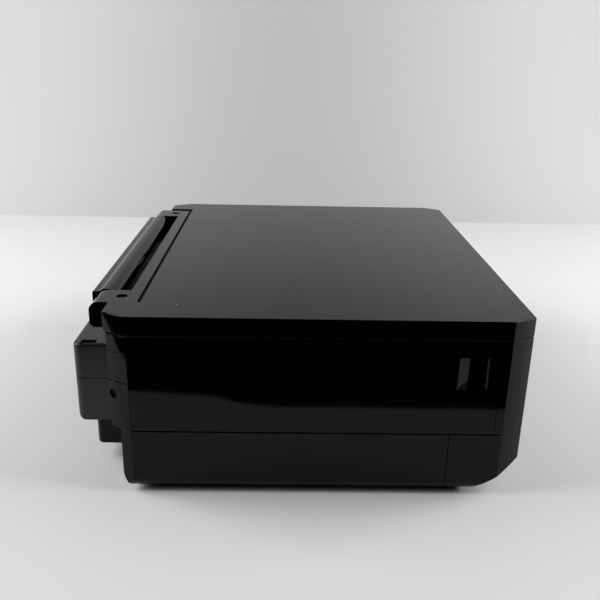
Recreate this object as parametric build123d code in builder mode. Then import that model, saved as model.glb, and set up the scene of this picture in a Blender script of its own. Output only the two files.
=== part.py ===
from build123d import *
import math
import os

os.makedirs("parts", exist_ok=True)

# All-in-one printer with a flatbed scanner on top.
# Millimetres. X runs left to right, Y front to back, Z up. The origin is on the floor,
# under the middle of the whole outline. Left means the user's left.

# Overall size
width = 390.0
lid_depth = 326.4
rear_reach = 37.0
height = 150.0
foot_height = 2.0

# Heights of the seams
lid_height = 16.0
scanner_depth = 13.6
chassis_headroom = 4.4
seam = 0.5
rear_split_rise = 40.0

# Corner facets, seen from above
facet_y = 18.6
facet_x = 11.0
facet_bulge = 0.9

# Shells and clearances
shell = 2.5
edge_round = 0.8
edge_light = 0.5
slip = 0.3
running = 0.05
press_gap = 0.01
past = 1.0
pin_tip = 1.0
base_wall = 4.0
base_floor = 3.0
base_edge_round = 12.0
base_back_round = 15.0
tub_round = 7.0
tub_back_round = 6.0
base_setback = 10.0
upper_setback = 2.0

# Front pieces
bezel_depth = 25.0
lower_front_depth = 60.0
bevel_height = 27.0
bevel_depth = 41.0

# Finger recesses in the side panels
recess_start = 36.0
recess_length = 23.4
recess_height = 26.2
recess_depth = 8.4
recess_cup = 1.8
recess_lip_length = 3.2
recess_lip_depth = 1.0
recess_lip_bow_length = 1.67
recess_lip_bow_depth = 0.28
recess_ramp_length = 12.0
recess_ramp_depth = 5.6
recess_bow_length = 16.7
recess_bow_depth = 7.6
recess_front_lip = 1.4
recess_front_lip_depth = 1.4

# Paper cassette
cassette_margin = 81.0
cassette_back_gap = 6.25
cassette_headroom = 6.7
cassette_lip = 4.0
cassette_grip_half = 35.0
cassette_grip_height = 11.0
cassette_wall = 2.5
pickup_notch_half = 22.0
photo_tray_height = 7.0
photo_tray_short = 164.0
photo_tray_setback = 19.0
photo_well_half = 52.0
grip_gap = 1.0

# Edge guides of the cassette
guide_slip = 0.2
guide_length = 60.0
guide_thickness = 2.5
guide_pinion_setback = 94.75
rack_width = 6.0
rack_thickness = 2.6
rack_reach = 12.0
guide_travel = 50.0
guide_module = 1.0
guide_teeth = 12
tooth_sink = 0.05

# Output tray
tray_front_height = 13.7
tray_margin = 27.0
tray_back_gap = 15.2
tray_plate = 2.6
tray_rail = 3.0
tray_rail_height = 9.0
extension_half = 60.0
extension_short = 24.0
extension_gap = 1.0
window_spacing_x = 60.0
window_spacing_y = 44.0
window_width = 42.0
window_length = 33.0
window_round = 4.0
tray_face_gap = 1.0

# Control panel
panel_margin = 50.0
panel_depth = 18.0
panel_top_gap = 3.5
panel_bottom_gap = 1.3
panel_pivot_round = 5.2
panel_heel = 6.0
panel_skin = 2.5
display_half = 45.0
display_margin = 8.5
key_radius = 6.0
key_travel = 1.2
start_key_margin = 30.0
key_pitch = 35.0

# Card door and power button
card_margin = 14.0
card_gap = 4.0
card_rise = 16.5
card_drop = 18.5
card_hinge_inset = 1.5
card_slot_depth = 40.0
power_drop = 8.5

# Deck and chassis
deck_thickness = 3.0
mechanism_margin = 37.0
sheet = 1.5
back_plate_setback = 75.5
chassis_rise = 12.0

# Rollers and their gears
roller_lift = 15.0
roller_radius = 6.0
journal_radius = 4.0
feed_setback = 20.0
nip_radius = 3.0
gear_module = 0.8
feed_teeth = 30
transfer_teeth = 25
exit_teeth = 30
pinion_teeth = 12
gear_face_width = 6.0
gear_gap = 0.8
tooth_backlash = 0.16
addendum = 0.9
dedendum = 1.2
flank_steps = 4
root_flare = 0.01
pressure_angle = math.radians(20.0)
roller_margin = 33.0

# Print carriage
rod_radius = 5.0
rod_setback = 22.0
rod_lift = 19.0
carriage_length = 80.0
cartridge_round = 1.0
park_margin = 46.0
carriage_nose = 20.0
carriage_tail = 8.0
carriage_floor_drop = 5.0
print_gap = 2.5
head_length = 28.0
head_setback = 8.0
cartridge_width = 12.5
cartridge_count = 5
cartridge_headroom = 2.0
belt_setback = 10.0
belt_width = 5.0
belt_thickness = 1.2
belt_clear = 1.0
pulley_flange = 1.0
pulley_radius = 6.0
pulley_margin = 12.0
pulley_lift = 12.0
motor_radius = 14.0
motor_length = 24.0
feed_motor_radius = 10.5
platen_gap = 5.0

# Pickup arm
pickup_offset = 14.0
pickup_lift = 5.0
pickup_reach = 28.0
pickup_roller_radius = 10.0
pickup_half = 14.0
pickup_cheek = 12.0
pad_thickness = 0.8
arm_shaft_radius = 3.0
arm_web_length = 17.4

# Power supply and main board
supply_margin = 33.0
supply_length = 200.7
supply_height = 40.0
supply_width = 28.0
supply_foot_start = 24.0
supply_foot_end = 18.0
supply_end = 12.0
inlet_rise = 11.0
inlet_offset = 9.0
board_margin = 15.0
board_length = 130.7
supply_round = 2.0
socket_depth = 17.0
socket_setback = 1.0
socket_wall = 1.5
socket_floor = 3.0

# Scanner unit
glass_margin = 39.0
glass_front = 40.0
glass_back_margin = 59.0
glass_thickness = 3.0
glass_ledge = 4.0
scan_bar_width = 24.0
scan_rod_radius = 1.8
scan_bar_height = 5.2
scan_rod_end = 5.0
scan_rod_offset = 104.5
scan_park_margin = 16.0
scanner_floor = 2.0
scan_slit_half = 2.0

# Lid hinge, behind the lid's back edge
lid_hinge_back = 4.0
lid_hinge_rise = 4.0
notch_margin = 32.0
notch_depth = 23.5
bracket_drop = 1.0
bracket_strip_back = -12.0
arm_width = 31.0
arm_back = 16.0
arm_round = 7.5
arm_drop = 6.0
arm_screw_offset = 14.3
arm_screw_back = -7.2
pin_radius = 3.0
spine_gap = 1.0
spine_radius = 10.5
spine_rise = 11.6
spine_crest = 2.0
spine_back = 20.5
spine_ledge = 5.0
spine_ledge_rise = 9.4
spine_corner = 1.5
spine_wall = 2.2
spine_notch_near = 45.0
spine_notch_far = 12.0

# Scanner hinge, under the spine
lift_back = 6.0
lift_rise = 0.6
knuckle_radius = 5.0
knuckle_margin = 41.0
knuckle_width = 12.0
knuckle_foot = 7.5

# Support stay
stay_margin = 21.0
stay_pivot_reach = 200.0
stay_drop = 3.4
stay_length = 117.2
stay_width = 4.0
stay_depth = 5.0

# Turning unit at the back
turn_margin = 50.0
turn_rise = 51.5
turn_drop = 18.0
turn_split_rise = 21.0
turn_round = 7.0
turn_inner_margin = 6.0
turn_inner_reach = 33.0
turn_inner_lift = 2.0
turn_roller_back = 12.0
turn_roller_radius = 8.0
release_margin = 5.2
release_back = 24.1
release_length = 7.5
release_width = 12.4
release_travel = 2.5
turn_top_round = 2.4
tail_reach = 22.4
tail_lift = 13.0

# Feet and cover screws
foot_margin = 35.0
foot_front_setback = 84.5
foot_back_setback = 35.5
foot_radius = 8.0
foot_bevel = 0.6
cover_screw_rise = 29.0
cover_screw_setback = 5.2
cover_screw_inset = 7.0
cover_screw_radius = 1.6
cover_screw_recess = 3.7
cover_screw_depth = 3.8
cover_screw_hole = 7.5
cover_screw_boss = 0.5
cover_screw_boss_start = 2.0
cover_screw_seat = 1.6
cover_screw_head = 1.8
cover_screw_length = 4.0
cover_screw_slot = 0.8

# Sockets in the rear cover
socket_width = 16.0
ethernet_rise = 6.0
ethernet_height = 13.5
usb_width = 12.0
usb_gap = 4.5
usb_height = 11.0
inlet_half = 11.0
inlet_half_height = 7.0

# Small parts of the bezel
bezel_gap = 1.0
power_guide = 8.0
panel_pin_radius = 2.0
lift_pin_radius = 2.5
recess_round = 2.0

# Track of the support stay
track_gap = 1.0
track_wall = 2.0
track_drop = 17.4
track_floor = 3.0
track_span = 40.0
track_end = 9.0

# Openings of the mid frame, and its posts
pickup_slot_half = 20.0
pickup_slot_lead = 12.0
pickup_slot_gap = 4.0
guide_tail = 22.0
wire_slot = 12.0
frame_inset = 2.8
frame_front = 27.0
board_rail = 6.0

# Paper path
path_margin = 9.0
path_rise = 1.5
path_slot_height = 12.0
guide_plate = 2.5
path_gap = 1.0
rib_height = 1.0
rib_thickness = 1.0
nip_count = 6
nip_width = 12.0
nip_gap = 0.3

# Caps under the parked print head
cap_width = 50.0
cap_rim = 1.6
cap_margin = 2.0
cap_half = 18.0

# Mechanism details
chassis_nose = 14.0
chassis_notch = 20.0
chassis_step = 15.0
chassis_flange = 8.0
chassis_hole = 3.0
chassis_hole_pitch = 40.0
chassis_hole_count = 6
nip_axle = 1.5
motor_shaft = 1.5
motor_boss = 4.0
motor_flat = 11.0
belt_pin = 14.0
cartridge_show = 12.0
cartridge_slope = 14.0
rod_slip = 0.08
platen_drop = 1.0
platen_depth = 8.0
platen_ribs = 15
cap_lift = 4.0
cap_gap = 0.5
supply_lift = 3.0
board_headroom = 4.0
chip_size = 12.0
chip_spots = (-30.0, -5.0, 20.0)
vent_count = 12
vent_length = 20.5
inlet_mouth_width = 17.0
inlet_mouth_height = 9.0
inlet_mouth_depth = 10.0
inlet_pin = 1.2
inlet_pin_setback = 1.0
inlet_pin_pitch = 8.6

# Small features
card_edge_round = 1.0
card_pin = 0.8
card_pin_length = 1.2
card_reader_inset = 2.0
panel_pin_reach = 4.0
panel_plate = 2.5
display_thickness = 1.5
key_depth = 6.0
key_flange = 1.0
tray_front_thickness = 3.5
ledge_height = 2.2
ledge_width = 3.5
ledge_short = 102.0
pad_half = 10.0
pad_length = 20.0
guide_axle = 2.0
spine_foot = 3.0
bracket_gap = 2.0
bracket_floor = 2.0
bracket_wall = 2.2
bracket_screw_recess = 4.5
bracket_screw_head = 3.5
bracket_screw_depth = 3.0
bracket_screw_length = 8.0
lid_top_skin = 3.0
pad_skin = 3.0
pad_margin = 4.0
stay_pin = 2.0
ear_gap = 0.3
ear_thickness = 1.5
ear_reach = 4.0
ear_drop = 3.0
release_drop = 1.6
release_height = 6.0
turn_journal = 3.0
turn_rib_margin = 26.0
turn_roller_margin = 7.0
turn_roller_lift = 6.0

# Reach of the lid's arms, swinging in their pockets
arm_swing = 14.8
hinge_pin_grip = 18.0

# Places worked out from the sizes above
side_x = width / 2
front_y = -(lid_depth + rear_reach) / 2
back_y = front_y + lid_depth
rear_y = back_y + rear_reach
base_back = back_y - base_setback
upper_back = back_y - upper_setback
frame_back_y = upper_back - shell - slip

# Heights, from the lid down to the base's seam and up again through the print mechanism
scanner_top = height - lid_height
scanner_underside = scanner_top - scanner_depth
chassis_top = scanner_underside - chassis_headroom
pulley_z = chassis_top - chassis_rise
rod_z = pulley_z - pulley_lift
roller_z = rod_z - rod_lift
deck_top = roller_z - roller_lift
base_top = deck_top - deck_thickness
lid_underside = scanner_top + seam
upper_low = base_top + seam
upper_high = scanner_underside - seam
rear_split = base_top + rear_split_rise

# Paper cassette
cassette_half = side_x - cassette_margin
cassette_front_half = cassette_half + cassette_lip
bay_half = cassette_front_half + seam
cassette_low = foot_height + base_floor + slip
cassette_high = base_top - cassette_headroom
cassette_floor = cassette_low + cassette_wall
cassette_start = front_y + panel_skin + tray_front_thickness / 2
cassette_back = base_back - base_wall - cassette_back_gap
cassette_length = cassette_back - cassette_start
photo_tray_length = cassette_length - photo_tray_short
guide_gap_half = cassette_half - cassette_wall - ledge_width - guide_slip - guide_thickness
ledge_high = cassette_high - photo_tray_height - shell
guide_top = ledge_high - ledge_height - 2 * slip
guide_pinion_y = cassette_back - guide_pinion_setback

# Front: output tray, control panel, card door and power button
tray_low = deck_top + slip
tray_face_y = front_y + slip
tray_face_low = upper_low + tray_face_gap
tray_face_high = tray_face_low + tray_front_height
panel_half = side_x - panel_margin
panel_top = scanner_top - panel_top_gap
panel_bottom = tray_face_high + panel_bottom_gap
panel_pivot_y = front_y + slip + panel_pivot_round
panel_pivot_z = panel_top - panel_pivot_round
tray_half = panel_half - tray_margin
start_key_x = panel_half - start_key_margin
ok_key_x = start_key_x - key_pitch
key_z = (panel_bottom + panel_top) / 2
display_low = panel_bottom + display_margin
display_high = panel_top - display_margin
card_left = -side_x + card_margin
card_right = -panel_half - card_gap
card_low = upper_low + card_rise
card_high = panel_top - card_drop
power_x = (card_left + card_right) / 2
power_z = panel_top - power_drop

# Print mechanism
end_plate_x = side_x - mechanism_margin
back_plate_y = back_y - back_plate_setback
rod_y = back_plate_y - rod_setback
belt_y = back_plate_y - belt_setback
feed_y = rod_y - feed_setback
exit_y = feed_y - gear_module * (feed_teeth + 2 * transfer_teeth + exit_teeth) / 2
transfer_y = feed_y - gear_module * (feed_teeth + transfer_teeth) / 2
pinion_distance = gear_module * (feed_teeth + pinion_teeth) / 2
nip_z = roller_z + roller_radius + nip_gap + nip_radius
roller_half = end_plate_x - roller_margin
platen_top = roller_z + roller_radius - platen_drop
head_z = platen_top + print_gap
head_back_y = feed_y - head_setback
head_front_y = head_back_y - head_length
carriage_front_y = head_front_y - carriage_nose
carriage_back_y = rod_y - carriage_tail
carriage_floor_z = rod_z - carriage_floor_drop
carriage_park = end_plate_x - park_margin
cartridge_top = chassis_top - cartridge_headroom
pulley_x = end_plate_x - pulley_margin
chassis_low_top = chassis_top - chassis_notch
cap_x = carriage_park
cap_low = deck_top + cap_lift
cap_top = head_z - cap_gap
platen_left = -roller_half
platen_right = cap_x - cap_width / 2 - platen_gap
path_slot_half = roller_half - path_margin
path_low = roller_z + path_rise
path_slot_low = path_low - seam
pickup_y = back_plate_y + pickup_offset
pickup_z = deck_top + pickup_lift
pickup_slot_front = back_plate_y - pickup_slot_lead
pickup_slot_back = pickup_y + pickup_reach + pickup_roller_radius + pickup_slot_gap
guide_back = pickup_y + guide_tail
tray_length = head_front_y - tray_back_gap - tray_face_y
extension_length = tray_length - extension_short

# Power supply, main board and their sockets
supply_left = side_x - supply_margin
supply_front = frame_back_y - supply_length
supply_low = deck_top + supply_lift
inlet_x = supply_left + inlet_offset
inlet_z = supply_low + inlet_rise
board_x = -side_x + board_margin
board_front = frame_back_y - board_length
board_top = chassis_top - board_headroom
ethernet_low = deck_top + ethernet_rise
usb_low = ethernet_low + ethernet_height + usb_gap

# Scanner unit, lid hinge, scanner hinge and stay
glass_half = side_x - glass_margin
glass_y0 = front_y + glass_front
glass_y1 = back_y - glass_back_margin
scan_rod_y = glass_y0 + scan_rod_offset
scan_park = -glass_half + scan_park_margin
lid_hinge_y = back_y + lid_hinge_back
lid_hinge_z = scanner_top + lid_hinge_rise
bracket_top = height - bracket_drop
notch_half = side_x - notch_margin
arm_inner = notch_half - arm_width
arm_low = scanner_top - arm_drop
arm_screw_x = arm_inner + arm_screw_offset
spine_half = arm_inner - spine_gap
spine_low = arm_low
lift_y = back_y + lift_back
lift_z = scanner_underside + lift_rise
knuckle_x = spine_half - knuckle_margin
stay_x = side_x - stay_margin
stay_z = scanner_underside - stay_drop
track_low = scanner_underside - track_drop

# Turning unit, tail, feet and cover screws
turn_half = side_x - turn_margin
turn_top = base_top + turn_rise
turn_low = base_top - turn_drop
turn_split = base_top + turn_split_rise
turn_inner_half = turn_half - turn_inner_margin
turn_inner_low = deck_top + turn_inner_lift
turn_inner_high = turn_top - shell
turn_rib_x = turn_half - turn_rib_margin
turn_roller_half = turn_rib_x - turn_roller_margin
turn_roller_z = turn_inner_low + turn_roller_lift
release_x = turn_half - release_margin
release_y = back_y + release_back
release_low = turn_top - release_drop - release_height
tail_half = turn_half
tail_low = foot_height + tail_lift
foot_x = side_x - foot_margin
foot_front_y = front_y + foot_front_setback
foot_back_y = back_y - foot_back_setback
cover_screw_z = base_top + cover_screw_rise


def block(x0, x1, y0, y1, z0, z1, mode=Mode.ADD):
    """A box between two corners, in the current part."""
    with Locations(((x0 + x1) / 2, (y0 + y1) / 2, (z0 + z1) / 2)):
        Box(x1 - x0, y1 - y0, z1 - z0, mode=mode)


def bar_x(radius, x0, x1, y, z, mode=Mode.ADD):
    """A round bar along X, in the current part."""
    with BuildSketch(Plane.YZ.offset(x0)) as section:
        with Locations((y, z)):
            Circle(radius)
    extrude(section.sketch, amount=x1 - x0, mode=mode)


def bar_y(radius, y0, y1, x, z, mode=Mode.ADD):
    """A round bar along Y, in the current part."""
    with BuildSketch(Plane.XZ.offset(-y1)) as section:
        with Locations((x, z)):
            Circle(radius)
    extrude(section.sketch, amount=y1 - y0, mode=mode)


def clip(x0, x1, y0, y1):
    """Keep only a rectangle of the current sketch."""
    with Locations(((x0 + x1) / 2, (y0 + y1) / 2)):
        Rectangle(x1 - x0, y1 - y0, mode=Mode.INTERSECT)


def plan(inset=0.0):
    """The outline from above, with a slightly bowed facet at each corner, in the current sketch."""
    x = side_x - inset
    half_depth = lid_depth / 2 - inset
    middle_x = x - facet_x / 2 + facet_bulge * facet_y / (facet_x + facet_y)
    middle_y = half_depth - facet_y / 2 + facet_bulge * facet_x / (facet_x + facet_y)
    shift = (front_y + back_y) / 2
    with BuildLine() as border:
        for sx, sy in ((1, 1), (-1, 1), (-1, -1), (1, -1)):
            ThreePointArc((sx * x, shift + sy * (half_depth - facet_y)),
                          (sx * middle_x, shift + sy * middle_y),
                          (sx * (x - facet_x), shift + sy * half_depth))
        for sign in (-1, 1):
            Line((sign * x, shift - half_depth + facet_y), (sign * x, shift + half_depth - facet_y))
            Line((facet_x - x, shift + sign * half_depth), (x - facet_x, shift + sign * half_depth))
    make_face(border.edges())


def plan_slab(inset, y0, y1, z0, z1, mode=Mode.ADD):
    """A slab of the outline between two depths and two heights, in the current part."""
    with BuildSketch(Plane.XY.offset(z0)) as section:
        plan(inset)
        clip(-width, width, y0, y1)
    extrude(section.sketch, amount=z1 - z0, mode=mode)


def front_bevel(inset, half, mode=Mode.SUBTRACT):
    """The big bevel under the front, cut from the current part."""
    reach = bevel_depth + bevel_height
    with BuildSketch(Plane.YZ.offset(-half)) as section:
        with BuildLine():
            Polyline(
                (front_y + inset, foot_height + bevel_height + inset),
                (front_y + bevel_depth + inset, foot_height + inset),
                (front_y + bevel_depth + inset, foot_height - reach),
                (front_y - reach, foot_height - reach),
                (front_y - reach, foot_height + bevel_height + inset),
                close=True,
            )
        make_face()
    extrude(section.sketch, amount=2 * half, mode=mode)


def round_sides(half, low, radius):
    """Round the lower left and right edges of the current part."""
    with BuildSketch(Plane.XZ) as section:
        with Locations((0, low + height)):
            Rectangle(2 * half, 2 * height)
        fillet(section.vertices().group_by(Axis.Y)[0], radius)
    extrude(section.sketch, amount=lid_depth, both=True, mode=Mode.INTERSECT)


def round_back(back, low, radius):
    """Round the lower back edge of the current part."""
    with BuildSketch(Plane.YZ) as section:
        with Locations((back - lid_depth, low + height)):
            Rectangle(2 * lid_depth, 2 * height)
        fillet(section.vertices().group_by(Axis.Y)[0].sort_by(Axis.X)[-1], radius)
    extrude(section.sketch, amount=width, both=True, mode=Mode.INTERSECT)


def spread(radius, base_radius):
    """The involute angle at a radius."""
    angle = math.acos(min(1.0, base_radius / radius))
    return math.tan(angle) - angle


def gear(teeth, module, turn):
    """A gear outline with one tooth centred at the angle turn, in the current sketch."""
    pitch_radius = module * teeth / 2
    base_radius = pitch_radius * math.cos(pressure_angle)
    tip = pitch_radius + addendum * module
    root = pitch_radius - dedendum * module
    foot = max(root, base_radius)
    half_tooth = math.pi / (2 * teeth) - tooth_backlash / (2 * pitch_radius)
    half_tooth += spread(pitch_radius, base_radius)
    points = []
    for tooth in range(teeth):
        middle = turn + 2 * math.pi * tooth / teeth
        radii = [foot + (tip - foot) * step / flank_steps for step in range(flank_steps + 1)]
        rising = [(r, middle - half_tooth + spread(r, base_radius)) for r in radii]
        falling = [(r, 2 * middle - angle) for r, angle in reversed(rising)]
        flank = [(root, rising[0][1] - root_flare)] + rising + falling
        flank += [(root, falling[-1][1] + root_flare)]
        points += [(r * math.cos(angle), r * math.sin(angle)) for r, angle in flank]
    with BuildLine() as border:
        Polyline(*points, close=True)
    make_face(border.edges())


def mesh_turn(turn, teeth, direction, next_teeth):
    """The turn of the next gear, which lies in the given direction, to mesh with this one."""
    return direction + math.pi + (direction - turn) * teeth / next_teeth + math.pi / next_teeth


def gear_at(teeth, module, turn):
    """A gear outline at each current location of the current sketch."""
    with BuildSketch(Plane.XY, mode=Mode.PRIVATE) as wheel:
        gear(teeth, module, turn)
    add(wheel.sketch)


feed_turn = 0.0
transfer_turn = mesh_turn(feed_turn, feed_teeth, math.pi, transfer_teeth)
exit_turn = mesh_turn(transfer_turn, transfer_teeth, math.pi, exit_teeth)
pinion_turn = mesh_turn(feed_turn, feed_teeth, 0.0, pinion_teeth)


def save(piece, name):
    """Label a finished piece and write it out."""
    piece.part.label = name
    export_step(piece.part, f"parts/{name}.step")


# Base: the tub that everything stands on, with the tail that covers the cassette's end
base_front = front_y + lower_front_depth + seam / 2
with BuildPart() as base_housing:
    plan_slab(0, base_front, base_back + past, foot_height, base_top)
    round_sides(side_x, foot_height, base_edge_round)
    round_back(base_back, foot_height, base_back_round)
    fillet(base_housing.faces().sort_by(Axis.Z)[-1].edges(), edge_light)
    with BuildPart(mode=Mode.PRIVATE) as tub:
        plan_slab(base_wall, base_front - base_wall, base_back - base_wall + past,
                  foot_height + base_floor, height)
        round_sides(side_x - base_wall, foot_height + base_floor, tub_round)
        round_back(base_back - base_wall, foot_height + base_floor, tub_back_round)
    add(tub.part, mode=Mode.SUBTRACT)
    with BuildSketch(Plane.XY.offset(tail_low)):
        with Locations((0, (base_back - base_wall + back_y + tail_reach) / 2)):
            Rectangle(2 * tail_half, back_y + tail_reach - base_back + base_wall)
    extrude(amount=turn_low - seam - tail_low)
    tail_edges = base_housing.edges().filter_by(Axis.Z).group_by(Axis.Y)[-1]
    fillet(tail_edges, turn_round)
    block(-tail_half + base_wall, tail_half - base_wall,
          base_back - 2 * base_wall, back_y + tail_reach - shell,
          tail_low + shell, turn_low - seam - shell, Mode.SUBTRACT)
save(base_housing, "base_housing")

with BuildPart() as feet:
    with BuildSketch():
        with Locations(*[(x, y) for x in (-foot_x, foot_x) for y in (foot_front_y, foot_back_y)]):
            Circle(foot_radius)
    extrude(amount=foot_height)
    chamfer(feet.faces().group_by(Axis.Z)[0].edges(), foot_bevel)
save(feet, "feet")

# Lower front: two corner pieces joined by a strip under the cassette
with BuildPart() as lower_front:
    lower_front_back = front_y + lower_front_depth - seam / 2
    plan_slab(0, front_y, lower_front_back, foot_height, base_top)
    round_sides(side_x, foot_height, base_edge_round)
    front_bevel(0, width)
    fillet(lower_front.faces().sort_by(Axis.Z)[-1].edges(), edge_light)
    with BuildPart(mode=Mode.PRIVATE) as hollow:
        plan_slab(shell, front_y, width, foot_height + base_floor, height)
        round_sides(side_x - shell, foot_height + base_floor, base_edge_round)
        front_bevel(shell, width)
        block(-bay_half - shell, bay_half + shell, -width, width, 0, height, Mode.SUBTRACT)
    add(hollow.part, mode=Mode.SUBTRACT)
    block(-bay_half, bay_half, front_y - shell, lower_front_back + shell,
          foot_height + base_floor, height, Mode.SUBTRACT)
save(lower_front, "lower_front")

# Side panels, each with a finger recess for lifting the scanner unit
recess_y = front_y + recess_start
recess_low = upper_high - recess_height
panel_back = back_y - facet_y - seam / 2
for side, name in ((-1, "left"), (1, "right")):
    with BuildPart() as side_panel:
        outer_x = side * side_x
        plan_slab(0, front_y + bezel_depth + seam, panel_back, upper_low, upper_high)
        fillet(side_panel.faces().filter_by(Axis.Z).edges(), edge_light)
        plan_slab(shell, -width, width, 0, height, Mode.SUBTRACT)
        near, far = sorted((0, -side * width))
        block(near, far, -width, width, 0, height, Mode.SUBTRACT)
        near, far = sorted((outer_x - side * shell / 2, outer_x - side * (recess_depth + recess_cup)))
        block(near, far, recess_y - recess_cup, recess_y + recess_length + recess_cup,
              recess_low - recess_cup, upper_high)
        recess_back = recess_y + recess_length
        recess_wall_x = outer_x - side * recess_depth
        front_lip = (outer_x, recess_y - recess_front_lip)
        front_wall = (outer_x - side * recess_front_lip_depth, recess_y)
        inner = (recess_wall_x, recess_y + recess_round)
        bow = (outer_x - side * recess_bow_depth, recess_back - recess_bow_length)
        ramp_end = (outer_x - side * recess_ramp_depth, recess_back - recess_ramp_length)
        ramp_start = (outer_x - side * recess_lip_depth, recess_back - recess_lip_length)
        lip_bow = (outer_x - side * recess_lip_bow_depth, recess_back - recess_lip_bow_length)
        with BuildSketch(Plane.XY.offset(recess_low)) as recess:
            with BuildLine() as recess_border:
                Polyline((outer_x + side * past, recess_back), (outer_x + side * past, front_lip[1]),
                         front_lip, front_wall, (recess_wall_x, recess_y), inner)
                ThreePointArc(inner, bow, ramp_end)
                Line(ramp_end, ramp_start)
                ThreePointArc(ramp_start, lip_bow, (outer_x, recess_back))
                Line((outer_x, recess_back), (outer_x + side * past, recess_back))
            make_face(recess_border.edges())
        extrude(recess.sketch, amount=height, mode=Mode.SUBTRACT)
        if side > 0:
            stay_pin_y = lift_y - stay_pivot_reach + stay_length
            track_near = stay_x + stay_width / 2 + track_gap
            block(track_near, side_x - shell / 2, stay_pin_y - track_span, stay_pin_y + track_end,
                  track_low, track_low + track_floor)
            block(track_near, track_near + track_wall, stay_pin_y - track_span,
                  stay_pin_y + track_end, track_low, upper_high)
            block(track_near - past, track_near + track_wall + past,
                  stay_pin_y - track_span + track_floor, stay_pin_y + track_end - track_floor,
                  track_low + track_floor, height, Mode.SUBTRACT)
    save(side_panel, f"side_panel_{name}")

# Rear covers: the lower one wraps both corners, the upper one carries the scanner hinge
with BuildPart() as rear_cover_lower:
    plan_slab(0, back_y - facet_y, upper_back, upper_low, rear_split)
    fillet(rear_cover_lower.faces().filter_by(Axis.Z).edges(), edge_light)
    plan_slab(shell, -width, upper_back - shell, 0, height, Mode.SUBTRACT)
    block(-turn_half - seam, turn_half + seam, 0, width, turn_inner_low - seam, height,
          Mode.SUBTRACT)
    block(-turn_half - shell, turn_half + shell, upper_back - shell, upper_back,
          upper_low, turn_inner_low - seam)
    corner_x = side_x - cover_screw_inset
    for side in (-1, 1):
        facet_plane = Plane(
            origin=(side * corner_x, back_y - cover_screw_setback, cover_screw_z),
            z_dir=(side * facet_y, facet_x, 0),
        )
        with BuildSketch(facet_plane.offset(-cover_screw_boss_start)) as boss:
            Circle(cover_screw_recess + cover_screw_boss)
        extrude(boss.sketch, amount=cover_screw_boss_start - cover_screw_depth - cover_screw_seat)
        with Locations(facet_plane):
            CounterBoreHole(cover_screw_radius, cover_screw_recess, cover_screw_depth, cover_screw_hole)
    socket_x = board_x + sheet
    block(socket_x, socket_x + socket_width, upper_back - 2 * shell, upper_back + shell,
          ethernet_low, ethernet_low + ethernet_height, Mode.SUBTRACT)
    block(socket_x, socket_x + usb_width, upper_back - 2 * shell, upper_back + shell,
          usb_low, usb_low + usb_height, Mode.SUBTRACT)
    block(inlet_x - inlet_half - seam, inlet_x + inlet_half + seam,
          upper_back - 2 * shell, upper_back + shell,
          inlet_z - inlet_half_height - seam, inlet_z + inlet_half_height + seam, Mode.SUBTRACT)
save(rear_cover_lower, "rear_cover_lower")

with BuildPart() as rear_cover_upper:
    plan_slab(0, back_y - facet_y, upper_back, rear_split + seam, upper_high)
    fillet(rear_cover_upper.faces().filter_by(Axis.Z).edges(), edge_light)
    plan_slab(shell, -width, upper_back - shell, 0, height, Mode.SUBTRACT)
    block(-turn_half - seam, turn_half + seam, 0, width, 0, turn_top + seam, Mode.SUBTRACT)
    for x in (-knuckle_x, knuckle_x):
        for offset in (-knuckle_width, knuckle_width):
            middle = x + offset
            near = middle - knuckle_width / 2 + slip
            far = middle + knuckle_width / 2 - slip
            block(near, far, upper_back - shell / 2, lift_y,
                  lift_z - knuckle_foot, upper_high - seam)
            bar_x(knuckle_radius, near, far, lift_y, lift_z)
            bar_x(lift_pin_radius + running, near - past, far + past, lift_y, lift_z, Mode.SUBTRACT)
save(rear_cover_upper, "rear_cover_upper")

# Screws in the corner facets of the lower rear cover
with BuildPart() as cover_screws:
    for side in (-1, 1):
        facet_normal = Vector(side * facet_y, facet_x, 0).normalized()
        seat = Vector(side * corner_x, back_y - cover_screw_setback, cover_screw_z)
        with BuildSketch(Plane(origin=seat - facet_normal * cover_screw_depth, z_dir=facet_normal)) as head:
            Circle(cover_screw_recess - slip)
        extrude(head.sketch, amount=cover_screw_head)
        with BuildSketch(Plane(origin=seat - facet_normal * cover_screw_depth, z_dir=facet_normal)) as shank:
            Circle(cover_screw_radius - slip / 2)
        extrude(shank.sketch, amount=-cover_screw_length)
        with BuildSketch(Plane(origin=seat - facet_normal * (cover_screw_depth - cover_screw_head),
                               z_dir=facet_normal)) as drive:
            Rectangle(cover_screw_radius * 2, cover_screw_slot)
            Rectangle(cover_screw_slot, cover_screw_radius * 2)
        extrude(drive.sketch, amount=-cover_screw_head / 2, mode=Mode.SUBTRACT)
save(cover_screws, "cover_screws")

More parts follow.
